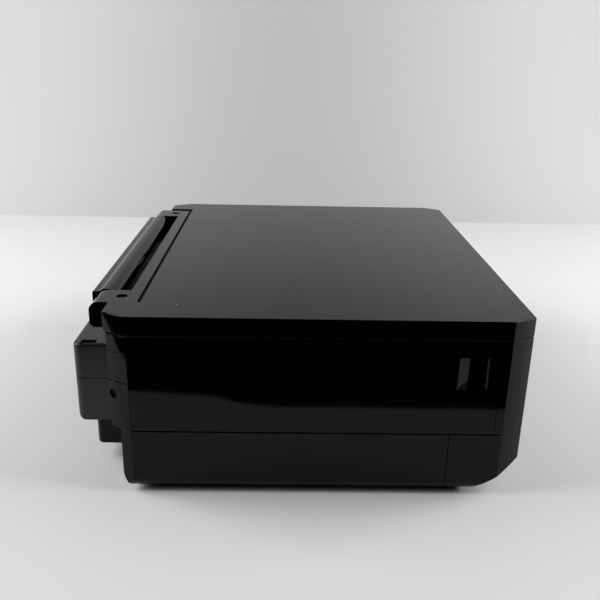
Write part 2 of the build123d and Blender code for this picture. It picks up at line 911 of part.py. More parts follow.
# Front bezel, which wraps the front corners up to the scanner unit
with BuildPart() as front_bezel:
    plan_slab(0, front_y, front_y + bezel_depth, upper_low, scanner_top)
    fillet(front_bezel.faces().filter_by(Axis.Z).edges(), edge_light)
    plan_slab(shell, front_y, width, 0, scanner_top - shell, Mode.SUBTRACT)
    bezel_half = panel_half + bezel_gap
    block(-bezel_half, bezel_half, -width, front_y + bezel_depth / 2, 0,
          panel_top + bezel_gap, Mode.SUBTRACT)
    block(card_left - card_hinge_inset, card_right + seam, -width, front_y + 2 * shell,
          card_low - seam, card_high + seam, Mode.SUBTRACT)
    with BuildSketch(Plane.XY.offset(card_low - card_pin_length - slip)) as pin_holes:
        with Locations((card_left + card_hinge_inset, front_y + panel_skin / 2)):
            Circle(card_pin + running)
    extrude(pin_holes.sketch, amount=card_high - card_low + 2 * (card_pin_length + slip),
            mode=Mode.SUBTRACT)
    bar_y(key_radius + slip, front_y - shell, front_y + 2 * shell, power_x, power_z, Mode.SUBTRACT)
    bar_y(key_radius + bezel_gap + shell, front_y + shell, front_y + power_guide, power_x, power_z)
    bar_y(key_radius + slip, front_y, front_y + power_guide, power_x, power_z, Mode.SUBTRACT)
    for sign in (-1, 1):
        near, far = sorted((sign * bezel_half, sign * (bezel_half + shell)))
        block(near, far, front_y + shell / 2, front_y + bezel_depth, upper_low, scanner_top - shell / 2)
        near, far = sorted((sign * (panel_half - panel_pin_reach), sign * (bezel_half + shell)))
        bar_x(panel_pin_radius, near, far, panel_pivot_y, panel_pivot_z)
save(front_bezel, "front_bezel")

with BuildPart() as power_button:
    bar_y(key_radius, front_y, front_y + power_guide - slip, power_x, power_z)
    chamfer(power_button.faces().sort_by(Axis.Y)[0].edges(), foot_bevel)
save(power_button, "power_button")

# Mid frame: the plastic deck between the base and the print mechanism
frame_front_y = front_y + frame_front
with BuildPart() as mid_frame:
    plan_slab(frame_inset, frame_front_y, frame_back_y, base_top, deck_top)
    block(-pickup_slot_half, pickup_slot_half, pickup_slot_front, pickup_slot_back,
          base_top - past, deck_top + past, Mode.SUBTRACT)
    block(-turn_half - shell - slip, turn_half + shell + slip, frame_back_y - shell, width,
          base_top - past, deck_top + past, Mode.SUBTRACT)
    with BuildSketch(Plane.XY.offset(deck_top)):
        with Locations(*[(x, y) for x in (-end_plate_x, end_plate_x) for y in (-wire_slot, rod_y)]):
            Circle(wire_slot / 2)
    extrude(amount=-deck_thickness, mode=Mode.SUBTRACT)
    block(board_x, board_x + sheet + 2 * shell, board_front, frame_back_y - shell,
          deck_top, ethernet_low - slip)
    block(board_x - slip, board_x + sheet + slip, board_front - past, width,
          deck_top + slip, height, Mode.SUBTRACT)
    supply_right = supply_left + supply_width
    block(supply_left, supply_right, supply_front, supply_front + board_rail,
          deck_top, supply_low)
    block(supply_left, supply_right, frame_back_y - supply_foot_start, frame_back_y - supply_foot_end,
          deck_top, supply_low)
    block(cap_x - cap_width / 2, cap_x + cap_width / 2, head_front_y, head_back_y, deck_top, cap_low)
    for sign in (-1, 1):
        near, far = sorted((sign * (path_slot_half - board_rail), sign * path_slot_half))
        block(near, far, back_plate_y + 2 * sheet, guide_back, deck_top, path_low)
        bar_x(arm_shaft_radius + press_gap, near - past, far + past, pickup_y, pickup_z,
              Mode.SUBTRACT)
    guide_front = feed_y + roller_radius + shell
    block(-path_slot_half, path_slot_half, guide_front, guide_back, path_low, path_low + guide_plate)
    with Locations((0, (guide_front + guide_back) / 2, path_low + guide_plate)):
        with GridLocations(2 * path_slot_half / nip_count, 1, nip_count, 1):
            Box(shell, guide_back - guide_front - 2 * shell, rib_height,
                align=(Align.CENTER, Align.CENTER, Align.MIN))
save(mid_frame, "mid_frame")

# Chassis: bent sheet metal that carries the rollers, the rail and the motors
gear_plane_x = -end_plate_x - sheet - gear_gap
with BuildPart() as chassis:
    inner_front = exit_y - chassis_nose
    for sign in (-1, 1):
        near, far = sorted((sign * end_plate_x, sign * (end_plate_x + sheet)))
        with BuildSketch(Plane.YZ.offset(near)):
            with BuildLine():
                Polyline(
                    (inner_front, deck_top + slip),
                    (back_plate_y + sheet, deck_top + slip),
                    (back_plate_y + sheet, chassis_top),
                    (rod_y - chassis_step, chassis_top),
                    (rod_y - chassis_step, chassis_low_top),
                    (inner_front, chassis_low_top),
                    close=True,
                )
            make_face()
            with Locations((feed_y, roller_z), (exit_y, roller_z)):
                Circle(journal_radius + running, mode=Mode.SUBTRACT)
            with Locations((rod_y, rod_z)):
                Circle(rod_radius + press_gap, mode=Mode.SUBTRACT)
            with Locations((feed_y, nip_z), (exit_y, nip_z)):
                Circle(nip_axle + running, mode=Mode.SUBTRACT)
            if sign < 0:
                with Locations((feed_y + pinion_distance, roller_z)):
                    Circle(motor_shaft + 2 * slip, mode=Mode.SUBTRACT)
                with Locations((transfer_y, roller_z)):
                    Circle(motor_shaft + running, mode=Mode.SUBTRACT)
        extrude(amount=sheet)
        flange_near, flange_far = sorted((sign * end_plate_x, sign * (end_plate_x - chassis_flange)))
        block(flange_near, flange_far, back_plate_y - chassis_flange, back_plate_y,
              deck_top + slip, deck_top + slip + sheet)
    with BuildSketch(Plane.XZ.offset(-back_plate_y - sheet)):
        with Locations((0, (deck_top + slip + chassis_top) / 2)):
            Rectangle(2 * end_plate_x, chassis_top - deck_top - slip)
        with Locations((0, path_slot_low + path_slot_height / 2)):
            Rectangle(2 * (path_slot_half + path_gap), path_slot_height, mode=Mode.SUBTRACT)
        with Locations((0, (deck_top + path_slot_low - sheet) / 2)):
            Rectangle(2 * pickup_slot_half, path_slot_low - sheet - deck_top, mode=Mode.SUBTRACT)
        with Locations((-pulley_x, pulley_z)):
            Circle(motor_boss + slip, mode=Mode.SUBTRACT)
        with GridLocations(chassis_hole_pitch, 1, chassis_hole_count, 1):
            with Locations((0, chassis_top - 2 * chassis_hole)):
                Circle(chassis_hole, mode=Mode.SUBTRACT)
    extrude(amount=sheet)
    block(-end_plate_x, end_plate_x, back_plate_y - chassis_flange, back_plate_y + sheet,
          chassis_top - sheet, chassis_top)
    with Locations(Plane.XZ.offset(-back_plate_y).location * Location((pulley_x, pulley_z, 0))):
        Cylinder(pulley_radius, belt_pin, align=(Align.CENTER, Align.CENTER, Align.MIN))
save(chassis, "chassis")

# Steel rods: the carriage slides on one, the pickup arm hangs from the other
with BuildPart() as steel_rods:
    bar_x(rod_radius, -end_plate_x - 2 * sheet, end_plate_x + 2 * sheet, rod_y, rod_z)
    chamfer(steel_rods.faces().filter_by(Axis.X).edges(), foot_bevel)
    bar_x(arm_shaft_radius, -end_plate_x + 2 * sheet, path_slot_half + sheet, pickup_y, pickup_z)
save(steel_rods, "steel_rods")

# Print carriage with its head, and the row of ink cartridges
carriage_left = carriage_park - carriage_length / 2
carriage_right = carriage_park + carriage_length / 2
with BuildPart() as print_carriage:
    block(carriage_left, carriage_right, carriage_front_y, carriage_back_y,
          carriage_floor_z, cartridge_top - cartridge_show)
    pocket_half = cartridge_count * cartridge_width / 2 + slip
    block(carriage_park - pocket_half, carriage_park + pocket_half,
          carriage_front_y + shell, carriage_back_y - shell,
          carriage_floor_z + shell, height, Mode.SUBTRACT)
    block(carriage_park - cap_half, carriage_park + cap_half, head_front_y, head_back_y,
          head_z, carriage_floor_z + shell)
    block(carriage_left, carriage_right, carriage_back_y - shell, rod_y + rod_radius + shell,
          rod_z - rod_radius - shell, rod_z + rod_radius + shell)
    bar_x(rod_radius + rod_slip, carriage_left - past, carriage_right + past, rod_y, rod_z, Mode.SUBTRACT)
    clamp_half = 2 * rod_radius
    run_low = pulley_z - pulley_radius - belt_thickness
    block(carriage_park - clamp_half, carriage_park + clamp_half,
          rod_y + rod_radius, belt_y + belt_width / 2 + belt_clear,
          run_low - shell - nip_gap, run_low - nip_gap)
    block(carriage_park - clamp_half, carriage_park + clamp_half,
          rod_y + rod_radius, belt_y - belt_width / 2 - nip_gap,
          run_low - shell - nip_gap, run_low + belt_thickness + 2 * shell)
    block(carriage_park - clamp_half, carriage_park + clamp_half,
          belt_y - belt_width / 2 - shell, belt_y + belt_width / 2 + belt_clear,
          run_low + belt_thickness + nip_gap, run_low + belt_thickness + shell)
save(print_carriage, "print_carriage")

with BuildPart() as ink_cartridges:
    for index in range(cartridge_count):
        middle = carriage_park + (index - (cartridge_count - 1) / 2) * cartridge_width
        near = middle - cartridge_width / 2 + slip / 2
        far = middle + cartridge_width / 2 - slip / 2
        with BuildSketch(Plane.YZ.offset(near)) as side_view:
            with BuildLine():
                Polyline(
                    (carriage_front_y + shell + slip, carriage_floor_z + shell),
                    (carriage_back_y - shell - slip, carriage_floor_z + shell),
                    (carriage_back_y - shell - slip, cartridge_top),
                    (carriage_front_y + cartridge_slope, cartridge_top),
                    (carriage_front_y + shell + slip, cartridge_top - cartridge_slope),
                    close=True,
                )
            make_face()
            fillet(side_view.vertices().group_by(Axis.Y)[-1], cartridge_round)
        extrude(side_view.sketch, amount=far - near)
save(ink_cartridges, "ink_cartridges")

# Carriage drive: toothed belt, motor behind the chassis, and its pulley. The feed motor sits
# beside the feed roller.
with BuildPart() as carriage_belt:
    with BuildSketch(Plane.XZ.offset(-belt_y - belt_width / 2)):
        with Locations((0, pulley_z)):
            SlotCenterToCenter(2 * pulley_x, 2 * (pulley_radius + belt_thickness))
            SlotCenterToCenter(2 * pulley_x, 2 * (pulley_radius + running), mode=Mode.SUBTRACT)
    extrude(amount=belt_width)
save(carriage_belt, "carriage_belt")

with BuildPart() as motors:
    motor_front = back_plate_y + sheet
    bar_y(motor_radius, motor_front, motor_front + motor_length, -pulley_x, pulley_z)
    with BuildSketch(Plane.XZ.offset(-motor_front)) as flat_sides:
        with Locations((-pulley_x, pulley_z)):
            Rectangle(2 * motor_radius, 2 * motor_flat)
    extrude(flat_sides.sketch, amount=-motor_length, mode=Mode.INTERSECT)
    bar_y(motor_boss, motor_front - sheet, motor_front, -pulley_x, pulley_z)
    bar_y(motor_shaft, belt_y - belt_width / 2 - belt_clear, motor_front, -pulley_x, pulley_z)
    motor_y = feed_y + pinion_distance
    bar_x(feed_motor_radius, -end_plate_x, -end_plate_x + motor_length, motor_y, roller_z)
    bar_x(motor_shaft, gear_plane_x - gear_face_width - pin_tip, -end_plate_x, motor_y, roller_z)
save(motors, "motors")

with BuildPart() as motor_pulley:
    bar_y(pulley_radius, belt_y - belt_width / 2 - belt_clear, back_plate_y - belt_clear,
          -pulley_x, pulley_z)
    bar_y(pulley_radius + belt_thickness + pulley_flange, belt_y + belt_width / 2 + nip_gap,
          back_plate_y - belt_clear, -pulley_x, pulley_z)
    bar_y(motor_shaft + running, belt_y - belt_width, back_plate_y, -pulley_x, pulley_z,
          Mode.SUBTRACT)
save(motor_pulley, "motor_pulley")

# Platen under the print head
with BuildPart() as platen:
    rib_foot = platen_top - rib_height
    block(platen_left, platen_right, head_front_y, head_back_y, platen_top - platen_depth, rib_foot)
    with Locations(((platen_left + platen_right) / 2, (head_front_y + head_back_y) / 2, rib_foot)):
        with GridLocations((platen_right - platen_left) / platen_ribs, 1, platen_ribs, 1):
            Box(rib_thickness, head_back_y - head_front_y, rib_height,
                align=(Align.CENTER, Align.CENTER, Align.MIN))
    for near in (platen_left, platen_right - shell):
        block(near, near + shell, head_front_y, head_back_y, deck_top, platen_top - platen_depth)
save(platen, "platen")

# Capping station under the parked carriage
with BuildPart() as cap_station:
    block(cap_x - cap_width / 2, cap_x + cap_width / 2, head_front_y, head_back_y, cap_low, cap_top - cap_rim)
    block(cap_x - cap_half, cap_x + cap_half, head_front_y + cap_margin,
          head_back_y - cap_margin, cap_top - cap_rim, cap_top)
    block(cap_x - cap_half + cap_rim, cap_x + cap_half - cap_rim, head_front_y + cap_margin + cap_rim,
          head_back_y - cap_margin - cap_rim, cap_top - 2 * cap_rim, height, Mode.SUBTRACT)
save(cap_station, "cap_station")


def roller_spots(count, half):
    """Middles of evenly spaced rollers along X."""
    return [half * (2 * index + 1 - count) / count for index in range(count)]


# Rollers: the feed roller is one long grit roller, the exit roller has short rings
with BuildPart() as feed_roller:
    bar_x(roller_radius, -roller_half, roller_half, feed_y, roller_z)
    bar_x(journal_radius, gear_plane_x - gear_face_width, end_plate_x + 2 * sheet, feed_y, roller_z)
    with BuildSketch(Plane.YZ.offset(gear_plane_x - gear_face_width)) as face:
        with Locations((feed_y, roller_z)):
            gear_at(feed_teeth, gear_module, feed_turn)
    extrude(face.sketch, amount=gear_face_width)
save(feed_roller, "feed_roller")

with BuildPart() as transfer_gear:
    with BuildSketch(Plane.YZ.offset(gear_plane_x - gear_face_width)) as face:
        with Locations((transfer_y, roller_z)):
            gear_at(transfer_teeth, gear_module, transfer_turn)
    extrude(face.sketch, amount=gear_face_width)
    bar_x(motor_shaft, gear_plane_x, -end_plate_x + sheet, transfer_y, roller_z)
save(transfer_gear, "transfer_gear")

with BuildPart() as exit_roller:
    bar_x(journal_radius, gear_plane_x - gear_face_width, end_plate_x + 2 * sheet, exit_y, roller_z)
    for x in roller_spots(nip_count, roller_half):
        bar_x(roller_radius, x - nip_width / 2, x + nip_width / 2, exit_y, roller_z)
    with BuildSketch(Plane.YZ.offset(gear_plane_x - gear_face_width)) as face:
        with Locations((exit_y, roller_z)):
            gear_at(exit_teeth, gear_module, exit_turn)
    extrude(face.sketch, amount=gear_face_width)
save(exit_roller, "exit_roller")

with BuildPart() as motor_pinion:
    with BuildSketch(Plane.YZ.offset(gear_plane_x - gear_face_width)) as face:
        with Locations((feed_y + pinion_distance, roller_z)):
            gear_at(pinion_teeth, gear_module, pinion_turn)
            Circle(motor_shaft + running, mode=Mode.SUBTRACT)
    extrude(face.sketch, amount=gear_face_width)
save(motor_pinion, "motor_pinion")

# Small rollers that press the paper on the two driven ones
for name, y in (("pinch_rollers", feed_y), ("star_wheels", exit_y)):
    with BuildPart() as nip:
        bar_x(nip_axle, -end_plate_x - sheet, end_plate_x + sheet, y, nip_z)
        for x in roller_spots(nip_count, roller_half):
            bar_x(nip_radius, x - nip_width / 2, x + nip_width / 2, y, nip_z)
    save(nip, name)

# Pickup arm, hanging from its shaft into the cassette, with its roller
pickup_drop = pickup_z - cassette_floor - pad_thickness - nip_gap - pickup_roller_radius
pickup_end_y = pickup_y + pickup_reach
pickup_end_z = pickup_z - pickup_drop
with BuildPart() as pickup_arm:
    arm_tilt = math.degrees(math.atan2(-pickup_drop, pickup_reach))
    arm_length = math.hypot(pickup_drop, pickup_reach)
    for sign in (-1, 1):
        near, far = sorted((sign * pickup_half, sign * (pickup_half - shell)))
        with BuildSketch(Plane.YZ.offset(near)) as cheek:
            with Locations(Location(((pickup_y + pickup_end_y) / 2, (pickup_z + pickup_end_z) / 2),
                                    arm_tilt)):
                SlotCenterToCenter(arm_length, pickup_cheek)
            with Locations((pickup_y, pickup_z)):
                Circle(arm_shaft_radius + running, mode=Mode.SUBTRACT)
            with Locations((pickup_end_y, pickup_end_z)):
                Circle(nip_axle + running, mode=Mode.SUBTRACT)
        extrude(cheek.sketch, amount=far - near)
    web = Plane(origin=(0, (pickup_y + pickup_end_y) / 2, (pickup_z + pickup_end_z) / 2),
                x_dir=(1, 0, 0), z_dir=(0, pickup_drop, pickup_reach))
    with Locations(web):
        Box(2 * pickup_half, arm_web_length, shell)
save(pickup_arm, "pickup_arm")

with BuildPart() as pickup_roller:
    bar_x(pickup_roller_radius, -pickup_half + 2 * shell, pickup_half - 2 * shell,
          pickup_end_y, pickup_end_z)
    bar_x(nip_axle, -pickup_half - pin_tip, pickup_half + pin_tip, pickup_end_y, pickup_end_z)
save(pickup_roller, "pickup_roller")

# Power supply with the mains inlet at its back end, and the main board with its sockets and
# the card reader
with BuildPart() as power_supply:
    block(supply_left, supply_right, supply_front, frame_back_y - supply_end,
          supply_low, supply_low + supply_height)
    fillet(power_supply.edges().filter_by(Axis.Z), supply_round)
    block(inlet_x - inlet_half, inlet_x + inlet_half, frame_back_y - supply_foot_end, upper_back,
          inlet_z - inlet_half_height, inlet_z + inlet_half_height)
    with BuildSketch(Plane.XZ.offset(-upper_back)) as mouth:
        with Locations((inlet_x, inlet_z)):
            SlotCenterToCenter(inlet_mouth_width - inlet_mouth_height, inlet_mouth_height)
    extrude(mouth.sketch, amount=inlet_mouth_depth, mode=Mode.SUBTRACT)
    for sign in (-1, 1):
        bar_y(inlet_pin, upper_back - inlet_mouth_depth, upper_back - inlet_pin_setback,
              inlet_x + sign * inlet_pin_pitch / 2, inlet_z)
    with BuildSketch(Plane.XY.offset(supply_low + supply_height)) as vents:
        with Locations(((supply_left + supply_right) / 2, 0)):
            with GridLocations(1, 2 * shell, 1, vent_count):
                SlotOverall(vent_length, shell)
    extrude(vents.sketch, amount=-sheet, mode=Mode.SUBTRACT)
save(power_supply, "power_supply")

with BuildPart() as main_board:
    block(board_x, board_x + sheet, board_front, frame_back_y - shell, deck_top + shell, board_top)
    for low, wide, high in ((ethernet_low, socket_width, ethernet_height),
                            (usb_low, usb_width, usb_height)):
        block(socket_x, socket_x + wide - slip, upper_back - socket_depth, upper_back - socket_setback,
              low + slip, low + high - slip)
        block(socket_x + socket_wall, socket_x + wide - slip - socket_wall,
              upper_back - socket_depth + socket_floor, height,
              low + slip + socket_wall, low + high - slip - socket_wall, Mode.SUBTRACT)
    with Locations((socket_x, (board_front + frame_back_y) / 2, (deck_top + board_top) / 2)):
        with Locations(*[(0, y, z) for y in chip_spots for z in (-chip_size, chip_size)]):
            Box(2 * sheet, chip_size, chip_size, align=(Align.MIN, Align.CENTER, Align.CENTER))
    block(card_left + card_reader_inset, card_right, front_y + panel_skin + 2 * seam + shell,
          front_y + bezel_depth - shell, card_low + card_reader_inset, card_high - card_reader_inset)
    with Locations(((card_left + card_right) / 2, front_y, (card_low + card_high) / 2)):
        with Locations(*[(0, 0, offset) for offset in (-chip_size, 0, chip_size)]):
            Box(2 * chip_size, card_slot_depth, shell, mode=Mode.SUBTRACT)
save(main_board, "main_board")

with BuildPart() as card_door:
    block(card_left, card_right, front_y, front_y + panel_skin, card_low, card_high)
    fillet(card_door.edges().filter_by(Axis.Z).sort_by(Axis.X)[:2], card_edge_round)
    with BuildSketch(Plane.XY.offset(card_low - card_pin_length)) as pin:
        with Locations((card_left + card_hinge_inset, front_y + panel_skin / 2)):
            Circle(card_pin)
    extrude(pin.sketch, amount=card_high - card_low + 2 * card_pin_length)
save(card_door, "card_door")

# Control panel: a hollow frame with a glossy plate on it, tilting about its top edge
panel_face_y = front_y + slip
panel_back_y = front_y + panel_depth
plate_back_y = panel_face_y + panel_plate
with BuildPart() as panel_frame:
    with BuildSketch(Plane.YZ.offset(-panel_half)):
        with BuildLine():
            Line((panel_face_y, panel_bottom), (panel_face_y, panel_pivot_z))
            CenterArc((panel_pivot_y, panel_pivot_z), panel_pivot_round, 90, 90)
            Line((panel_pivot_y, panel_top), (panel_back_y, panel_top))
            Line((panel_back_y, panel_top), (panel_back_y, panel_bottom + panel_heel))
            Line((panel_back_y, panel_bottom + panel_heel), (panel_back_y - panel_heel, panel_bottom))
            Line((panel_back_y - panel_heel, panel_bottom), (panel_face_y, panel_bottom))
        make_face()
    extrude(amount=2 * panel_half)
    block(-width, width, front_y - past, plate_back_y, 0, panel_pivot_z, Mode.SUBTRACT)
    block(-panel_half + panel_skin, panel_half - panel_skin, front_y, panel_back_y - panel_skin,
          panel_bottom + panel_heel, panel_top - panel_pivot_round - panel_skin, Mode.SUBTRACT)
    for sign in (-1, 1):
        near, far = sorted((sign * (panel_half + past), sign * (panel_half - panel_pin_reach - past)))
        bar_x(panel_pin_radius + running, near, far, panel_pivot_y, panel_pivot_z, Mode.SUBTRACT)
save(panel_frame, "panel_frame")

with BuildPart() as panel_front:
    block(-panel_half, panel_half, panel_face_y, plate_back_y, panel_bottom, panel_pivot_z)
    block(-display_half, display_half, front_y, panel_face_y + display_thickness,
          display_low, display_high, Mode.SUBTRACT)
    for x in (ok_key_x, start_key_x):
        bar_y(key_radius + slip, front_y - past, plate_back_y + past, x, key_z, Mode.SUBTRACT)
save(panel_front, "panel_front")

with BuildPart() as display:
    block(-display_half, display_half, panel_face_y, panel_face_y + display_thickness,
          display_low, display_high)
save(display, "display")

for name, x in (("ok_key", ok_key_x), ("start_key", start_key_x)):
    with BuildPart() as key:
        bar_y(key_radius, panel_face_y, panel_face_y + key_depth, x, key_z)
        bar_y(key_radius + key_flange, plate_back_y + key_travel / 4, panel_face_y + key_depth, x, key_z)
        chamfer(key.faces().sort_by(Axis.Y)[0].edges(), foot_bevel)
    save(key, name)

# Output tray and the extension that pulls out of it
with BuildPart() as output_tray:
    block(-panel_half + seam, panel_half - seam, tray_face_y, tray_face_y + tray_front_thickness,
          tray_face_low, tray_face_high)
    block(-tray_half, tray_half, tray_face_y, tray_face_y + tray_length, tray_low, tray_low + tray_plate)
    for sign in (-1, 1):
        near, far = sorted((sign * tray_half, sign * (tray_half - tray_rail)))
        block(near, far, tray_face_y, tray_face_y + tray_length, tray_low, tray_low + tray_rail_height)
    block(-extension_half - extension_gap, extension_half + extension_gap,
          front_y - past, tray_face_y + tray_front_thickness + past,
          tray_low + tray_plate, height, Mode.SUBTRACT)
save(output_tray, "output_tray")

extension_low = tray_low + tray_plate + slip
with BuildPart() as tray_extension:
    block(-extension_half, extension_half, tray_face_y, tray_face_y + extension_length,
          extension_low, extension_low + tray_plate)
    block(-extension_half, extension_half, tray_face_y, tray_face_y + tray_front_thickness,
          extension_low, tray_face_high)
    with BuildSketch(Plane.XY.offset(extension_low)) as windows:
        with Locations((0, tray_face_y + extension_length / 2)):
            with GridLocations(window_spacing_x, window_spacing_y, 2, 2):
                RectangleRounded(window_width, window_length, window_round)
    extrude(windows.sketch, amount=tray_plate, mode=Mode.SUBTRACT)
save(tray_extension, "tray_extension")

# Paper cassette: the tray, its front cover, the edge guides and the photo tray
cassette_skin = cassette_wall + slip
with BuildPart() as cassette_tray:
    block(-cassette_half, cassette_half, cassette_start, cassette_back, cassette_low, cassette_high)
    with BuildPart(mode=Mode.PRIVATE) as well:
        block(-cassette_half + cassette_wall, cassette_half - cassette_wall,
              cassette_start + cassette_wall, cassette_back - cassette_wall, cassette_floor, height)
        front_bevel(2 * cassette_skin + cassette_wall / 2, width)
    add(well.part, mode=Mode.SUBTRACT)
    grip_high = cassette_high - shell
    grip_low = grip_high - cassette_grip_height
    grip_back = front_y + photo_tray_setback - grip_gap
    block(-cassette_grip_half - shell, cassette_grip_half + shell, cassette_start, grip_back,
          grip_low - shell, cassette_high)
    block(-cassette_grip_half, cassette_grip_half, front_y, grip_back - shell,
          grip_low, grip_high, Mode.SUBTRACT)
    block(-pickup_notch_half, pickup_notch_half, cassette_back - 2 * cassette_wall, cassette_back + past,
          cassette_floor + pad_thickness, height, Mode.SUBTRACT)
    block(-pad_half, pad_half, pickup_end_y - pad_length / 2, pickup_end_y + pad_length / 2,
          cassette_floor, cassette_floor + pad_thickness)
    for sign in (-1, 1):
        near, far = sorted((sign * (cassette_half - cassette_wall),
                            sign * (cassette_half - cassette_wall - ledge_width)))
        block(near, far, cassette_start + cassette_wall, cassette_back - ledge_short,
              ledge_high - ledge_height, ledge_high)
    front_bevel(cassette_skin + cassette_wall / 2, width)
    with BuildSketch(Plane.XY.offset(cassette_floor)) as axle:
        with Locations((0, guide_pinion_y)):
            Circle(guide_axle)
    extrude(axle.sketch, amount=rack_thickness + 2 * slip)
save(cassette_tray, "cassette_tray")

with BuildPart() as cassette_front:
    block(-cassette_front_half, cassette_front_half, front_y + slip, front_y + lower_front_depth,
          cassette_low, base_top - seam)
    front_bevel(0, width)
    with BuildPart(mode=Mode.PRIVATE) as behind:
        block(-width, width, front_y + cassette_skin, front_y + width, -height, height)
        front_bevel(cassette_skin, 2 * width)
    add(behind.part, mode=Mode.SUBTRACT)
    block(-cassette_grip_half, cassette_grip_half, front_y - past, front_y + 2 * shell,
          grip_low, grip_high, Mode.SUBTRACT)
save(cassette_front, "cassette_front")

guide_pitch = guide_module * guide_teeth / 2
rack_low = cassette_floor + slip
rack_high = rack_low + rack_thickness
for side, name in ((-1, "left"), (1, "right")):
    with BuildPart() as edge_guide:
        pitch_y = guide_pinion_y + side * guide_pitch
        base_y = pitch_y + side * dedendum * guide_module
        outer_y = base_y + side * rack_width
        near, far = sorted((side * guide_gap_half, -side * rack_reach))
        low_y, high_y = sorted((base_y, outer_y))
        block(near, far, low_y, high_y, rack_low, rack_high)
        plate_near, plate_far = sorted((side * guide_gap_half, side * (guide_gap_half + guide_thickness)))
        block(plate_near, plate_far, guide_pinion_y - guide_length / 2, guide_pinion_y + guide_length / 2,
              rack_high + slip, guide_top)
        block(plate_near, plate_far, low_y, high_y, rack_low, rack_high + 2 * slip)
        tooth_pitch = math.pi * guide_module
        tooth_count = int((guide_travel + 2 * rack_reach) / tooth_pitch)
        teeth_past_middle = rack_reach // tooth_pitch
        half = tooth_pitch / 4 - tooth_backlash / 2
        lean = math.tan(pressure_angle) * guide_module
        tip_y = pitch_y - side * addendum * guide_module
        foot_y = base_y + side * tooth_sink
        with BuildSketch(Plane.XY.offset(rack_low)) as teeth:
            for index in range(tooth_count):
                middle = side * (index + 1 / 2 - teeth_past_middle) * tooth_pitch
                with BuildLine():
                    Polyline(
                        (middle - half - dedendum * lean, foot_y),
                        (middle - half + addendum * lean, tip_y),
                        (middle + half - addendum * lean, tip_y),
                        (middle + half + dedendum * lean, foot_y),
                        close=True,
                    )
                make_face()
        extrude(teeth.sketch, amount=rack_thickness)
    save(edge_guide, f"edge_guide_{name}")

with BuildPart() as guide_pinion:
    with BuildSketch(Plane.XY.offset(rack_low)) as wheel:
        with Locations((0, guide_pinion_y)):
            gear_at(guide_teeth, guide_module, math.pi / 2)
            Circle(guide_axle + running, mode=Mode.SUBTRACT)
    extrude(wheel.sketch, amount=rack_thickness)
save(guide_pinion, "guide_pinion")

with BuildPart() as photo_tray:
    photo_start = front_y + photo_tray_setback
    photo_half = cassette_half - cassette_wall - slip
    photo_low = ledge_high + slip
    block(-photo_half, photo_half, photo_start, photo_start + photo_tray_length,
          photo_low, photo_low + photo_tray_height)
    block(-photo_well_half, photo_well_half, photo_start + cassette_wall,
          photo_start + photo_tray_length + past, photo_low + sheet, height, Mode.SUBTRACT)
    for sign in (-1, 1):
        near, far = sorted((sign * (photo_well_half + shell), sign * (photo_half - shell)))
        block(near, far, photo_start + cassette_wall, photo_start + photo_tray_length - cassette_wall,
              photo_low + sheet, height, Mode.SUBTRACT)
save(photo_tray, "photo_tray")

# Scanner unit: frame, bottom, glass, scan bar, and the spine cover behind it
unit_front = front_y + bezel_depth + seam
pocket_front = lid_hinge_y - arm_swing
with BuildPart() as scanner_frame:
    plan_slab(0, unit_front, upper_back, scanner_underside, scanner_top)
    fillet(scanner_frame.faces().sort_by(Axis.Z)[-1].edges(), edge_light)
    plan_slab(shell, unit_front + shell, upper_back - shell, 0, scanner_top - shell, Mode.SUBTRACT)
    block(-glass_half - shell, glass_half + shell, glass_y0 - shell, glass_y1 + shell,
          scanner_top - glass_thickness - shell, scanner_top - shell / 2)
    block(-glass_half, glass_half, glass_y0, glass_y1, scanner_top - glass_thickness, height,
          Mode.SUBTRACT)
    block(-glass_half + glass_ledge, glass_half - glass_ledge, glass_y0 + glass_ledge,
          glass_y1 - glass_ledge, 0, height, Mode.SUBTRACT)
    for sign in (-1, 1):
        near, far = sorted((sign * (arm_inner - seam), sign * (notch_half + slip)))
        block(near - shell, far + shell, pocket_front - shell, upper_back,
              scanner_underside, scanner_top)
        block(near, far, pocket_front, width, lid_hinge_z - arm_swing, height, Mode.SUBTRACT)
save(scanner_frame, "scanner_frame")

bottom_low = scanner_underside + slip
bottom_high = bottom_low + scanner_floor
scan_rod_z = bottom_high + slip + scan_bar_height / 2
stay_y = lift_y - stay_pivot_reach
with BuildPart() as scanner_bottom:
    plan_slab(frame_inset, unit_front + frame_inset, pocket_front - shell - slip,
              bottom_low, scanner_top - shell)
    plan_slab(frame_inset + shell, unit_front + frame_inset + shell, pocket_front - 2 * shell - slip,
              bottom_high, height, Mode.SUBTRACT)
    for sign in (-1, 1):
        near, far = sorted((sign * (glass_half + shell), sign * (glass_half + shell + scan_rod_end)))
        block(near, far, scan_rod_y - scan_rod_end, scan_rod_y + scan_rod_end,
              bottom_high, bottom_high + slip + scan_bar_height)
        bar_x(scan_rod_radius + press_gap, near - past, far + past, scan_rod_y, scan_rod_z,
              Mode.SUBTRACT)
    for sign in (-1, 1):
        near, far = sorted((stay_x + sign * (stay_width / 2 + ear_gap),
                            stay_x + sign * (stay_width / 2 + ear_gap + ear_thickness)))
        block(near, far, stay_y - ear_reach, stay_y + ear_reach, stay_z - ear_drop, bottom_low)
    bar_x(stay_pin, stay_x - stay_width / 2 - ear_thickness, stay_x + stay_width / 2 + ear_thickness,
          stay_y, stay_z)
save(scanner_bottom, "scanner_bottom")

with BuildPart() as platen_glass:
    block(-glass_half, glass_half, glass_y0, glass_y1, scanner_top - glass_thickness, scanner_top)
save(platen_glass, "platen_glass")

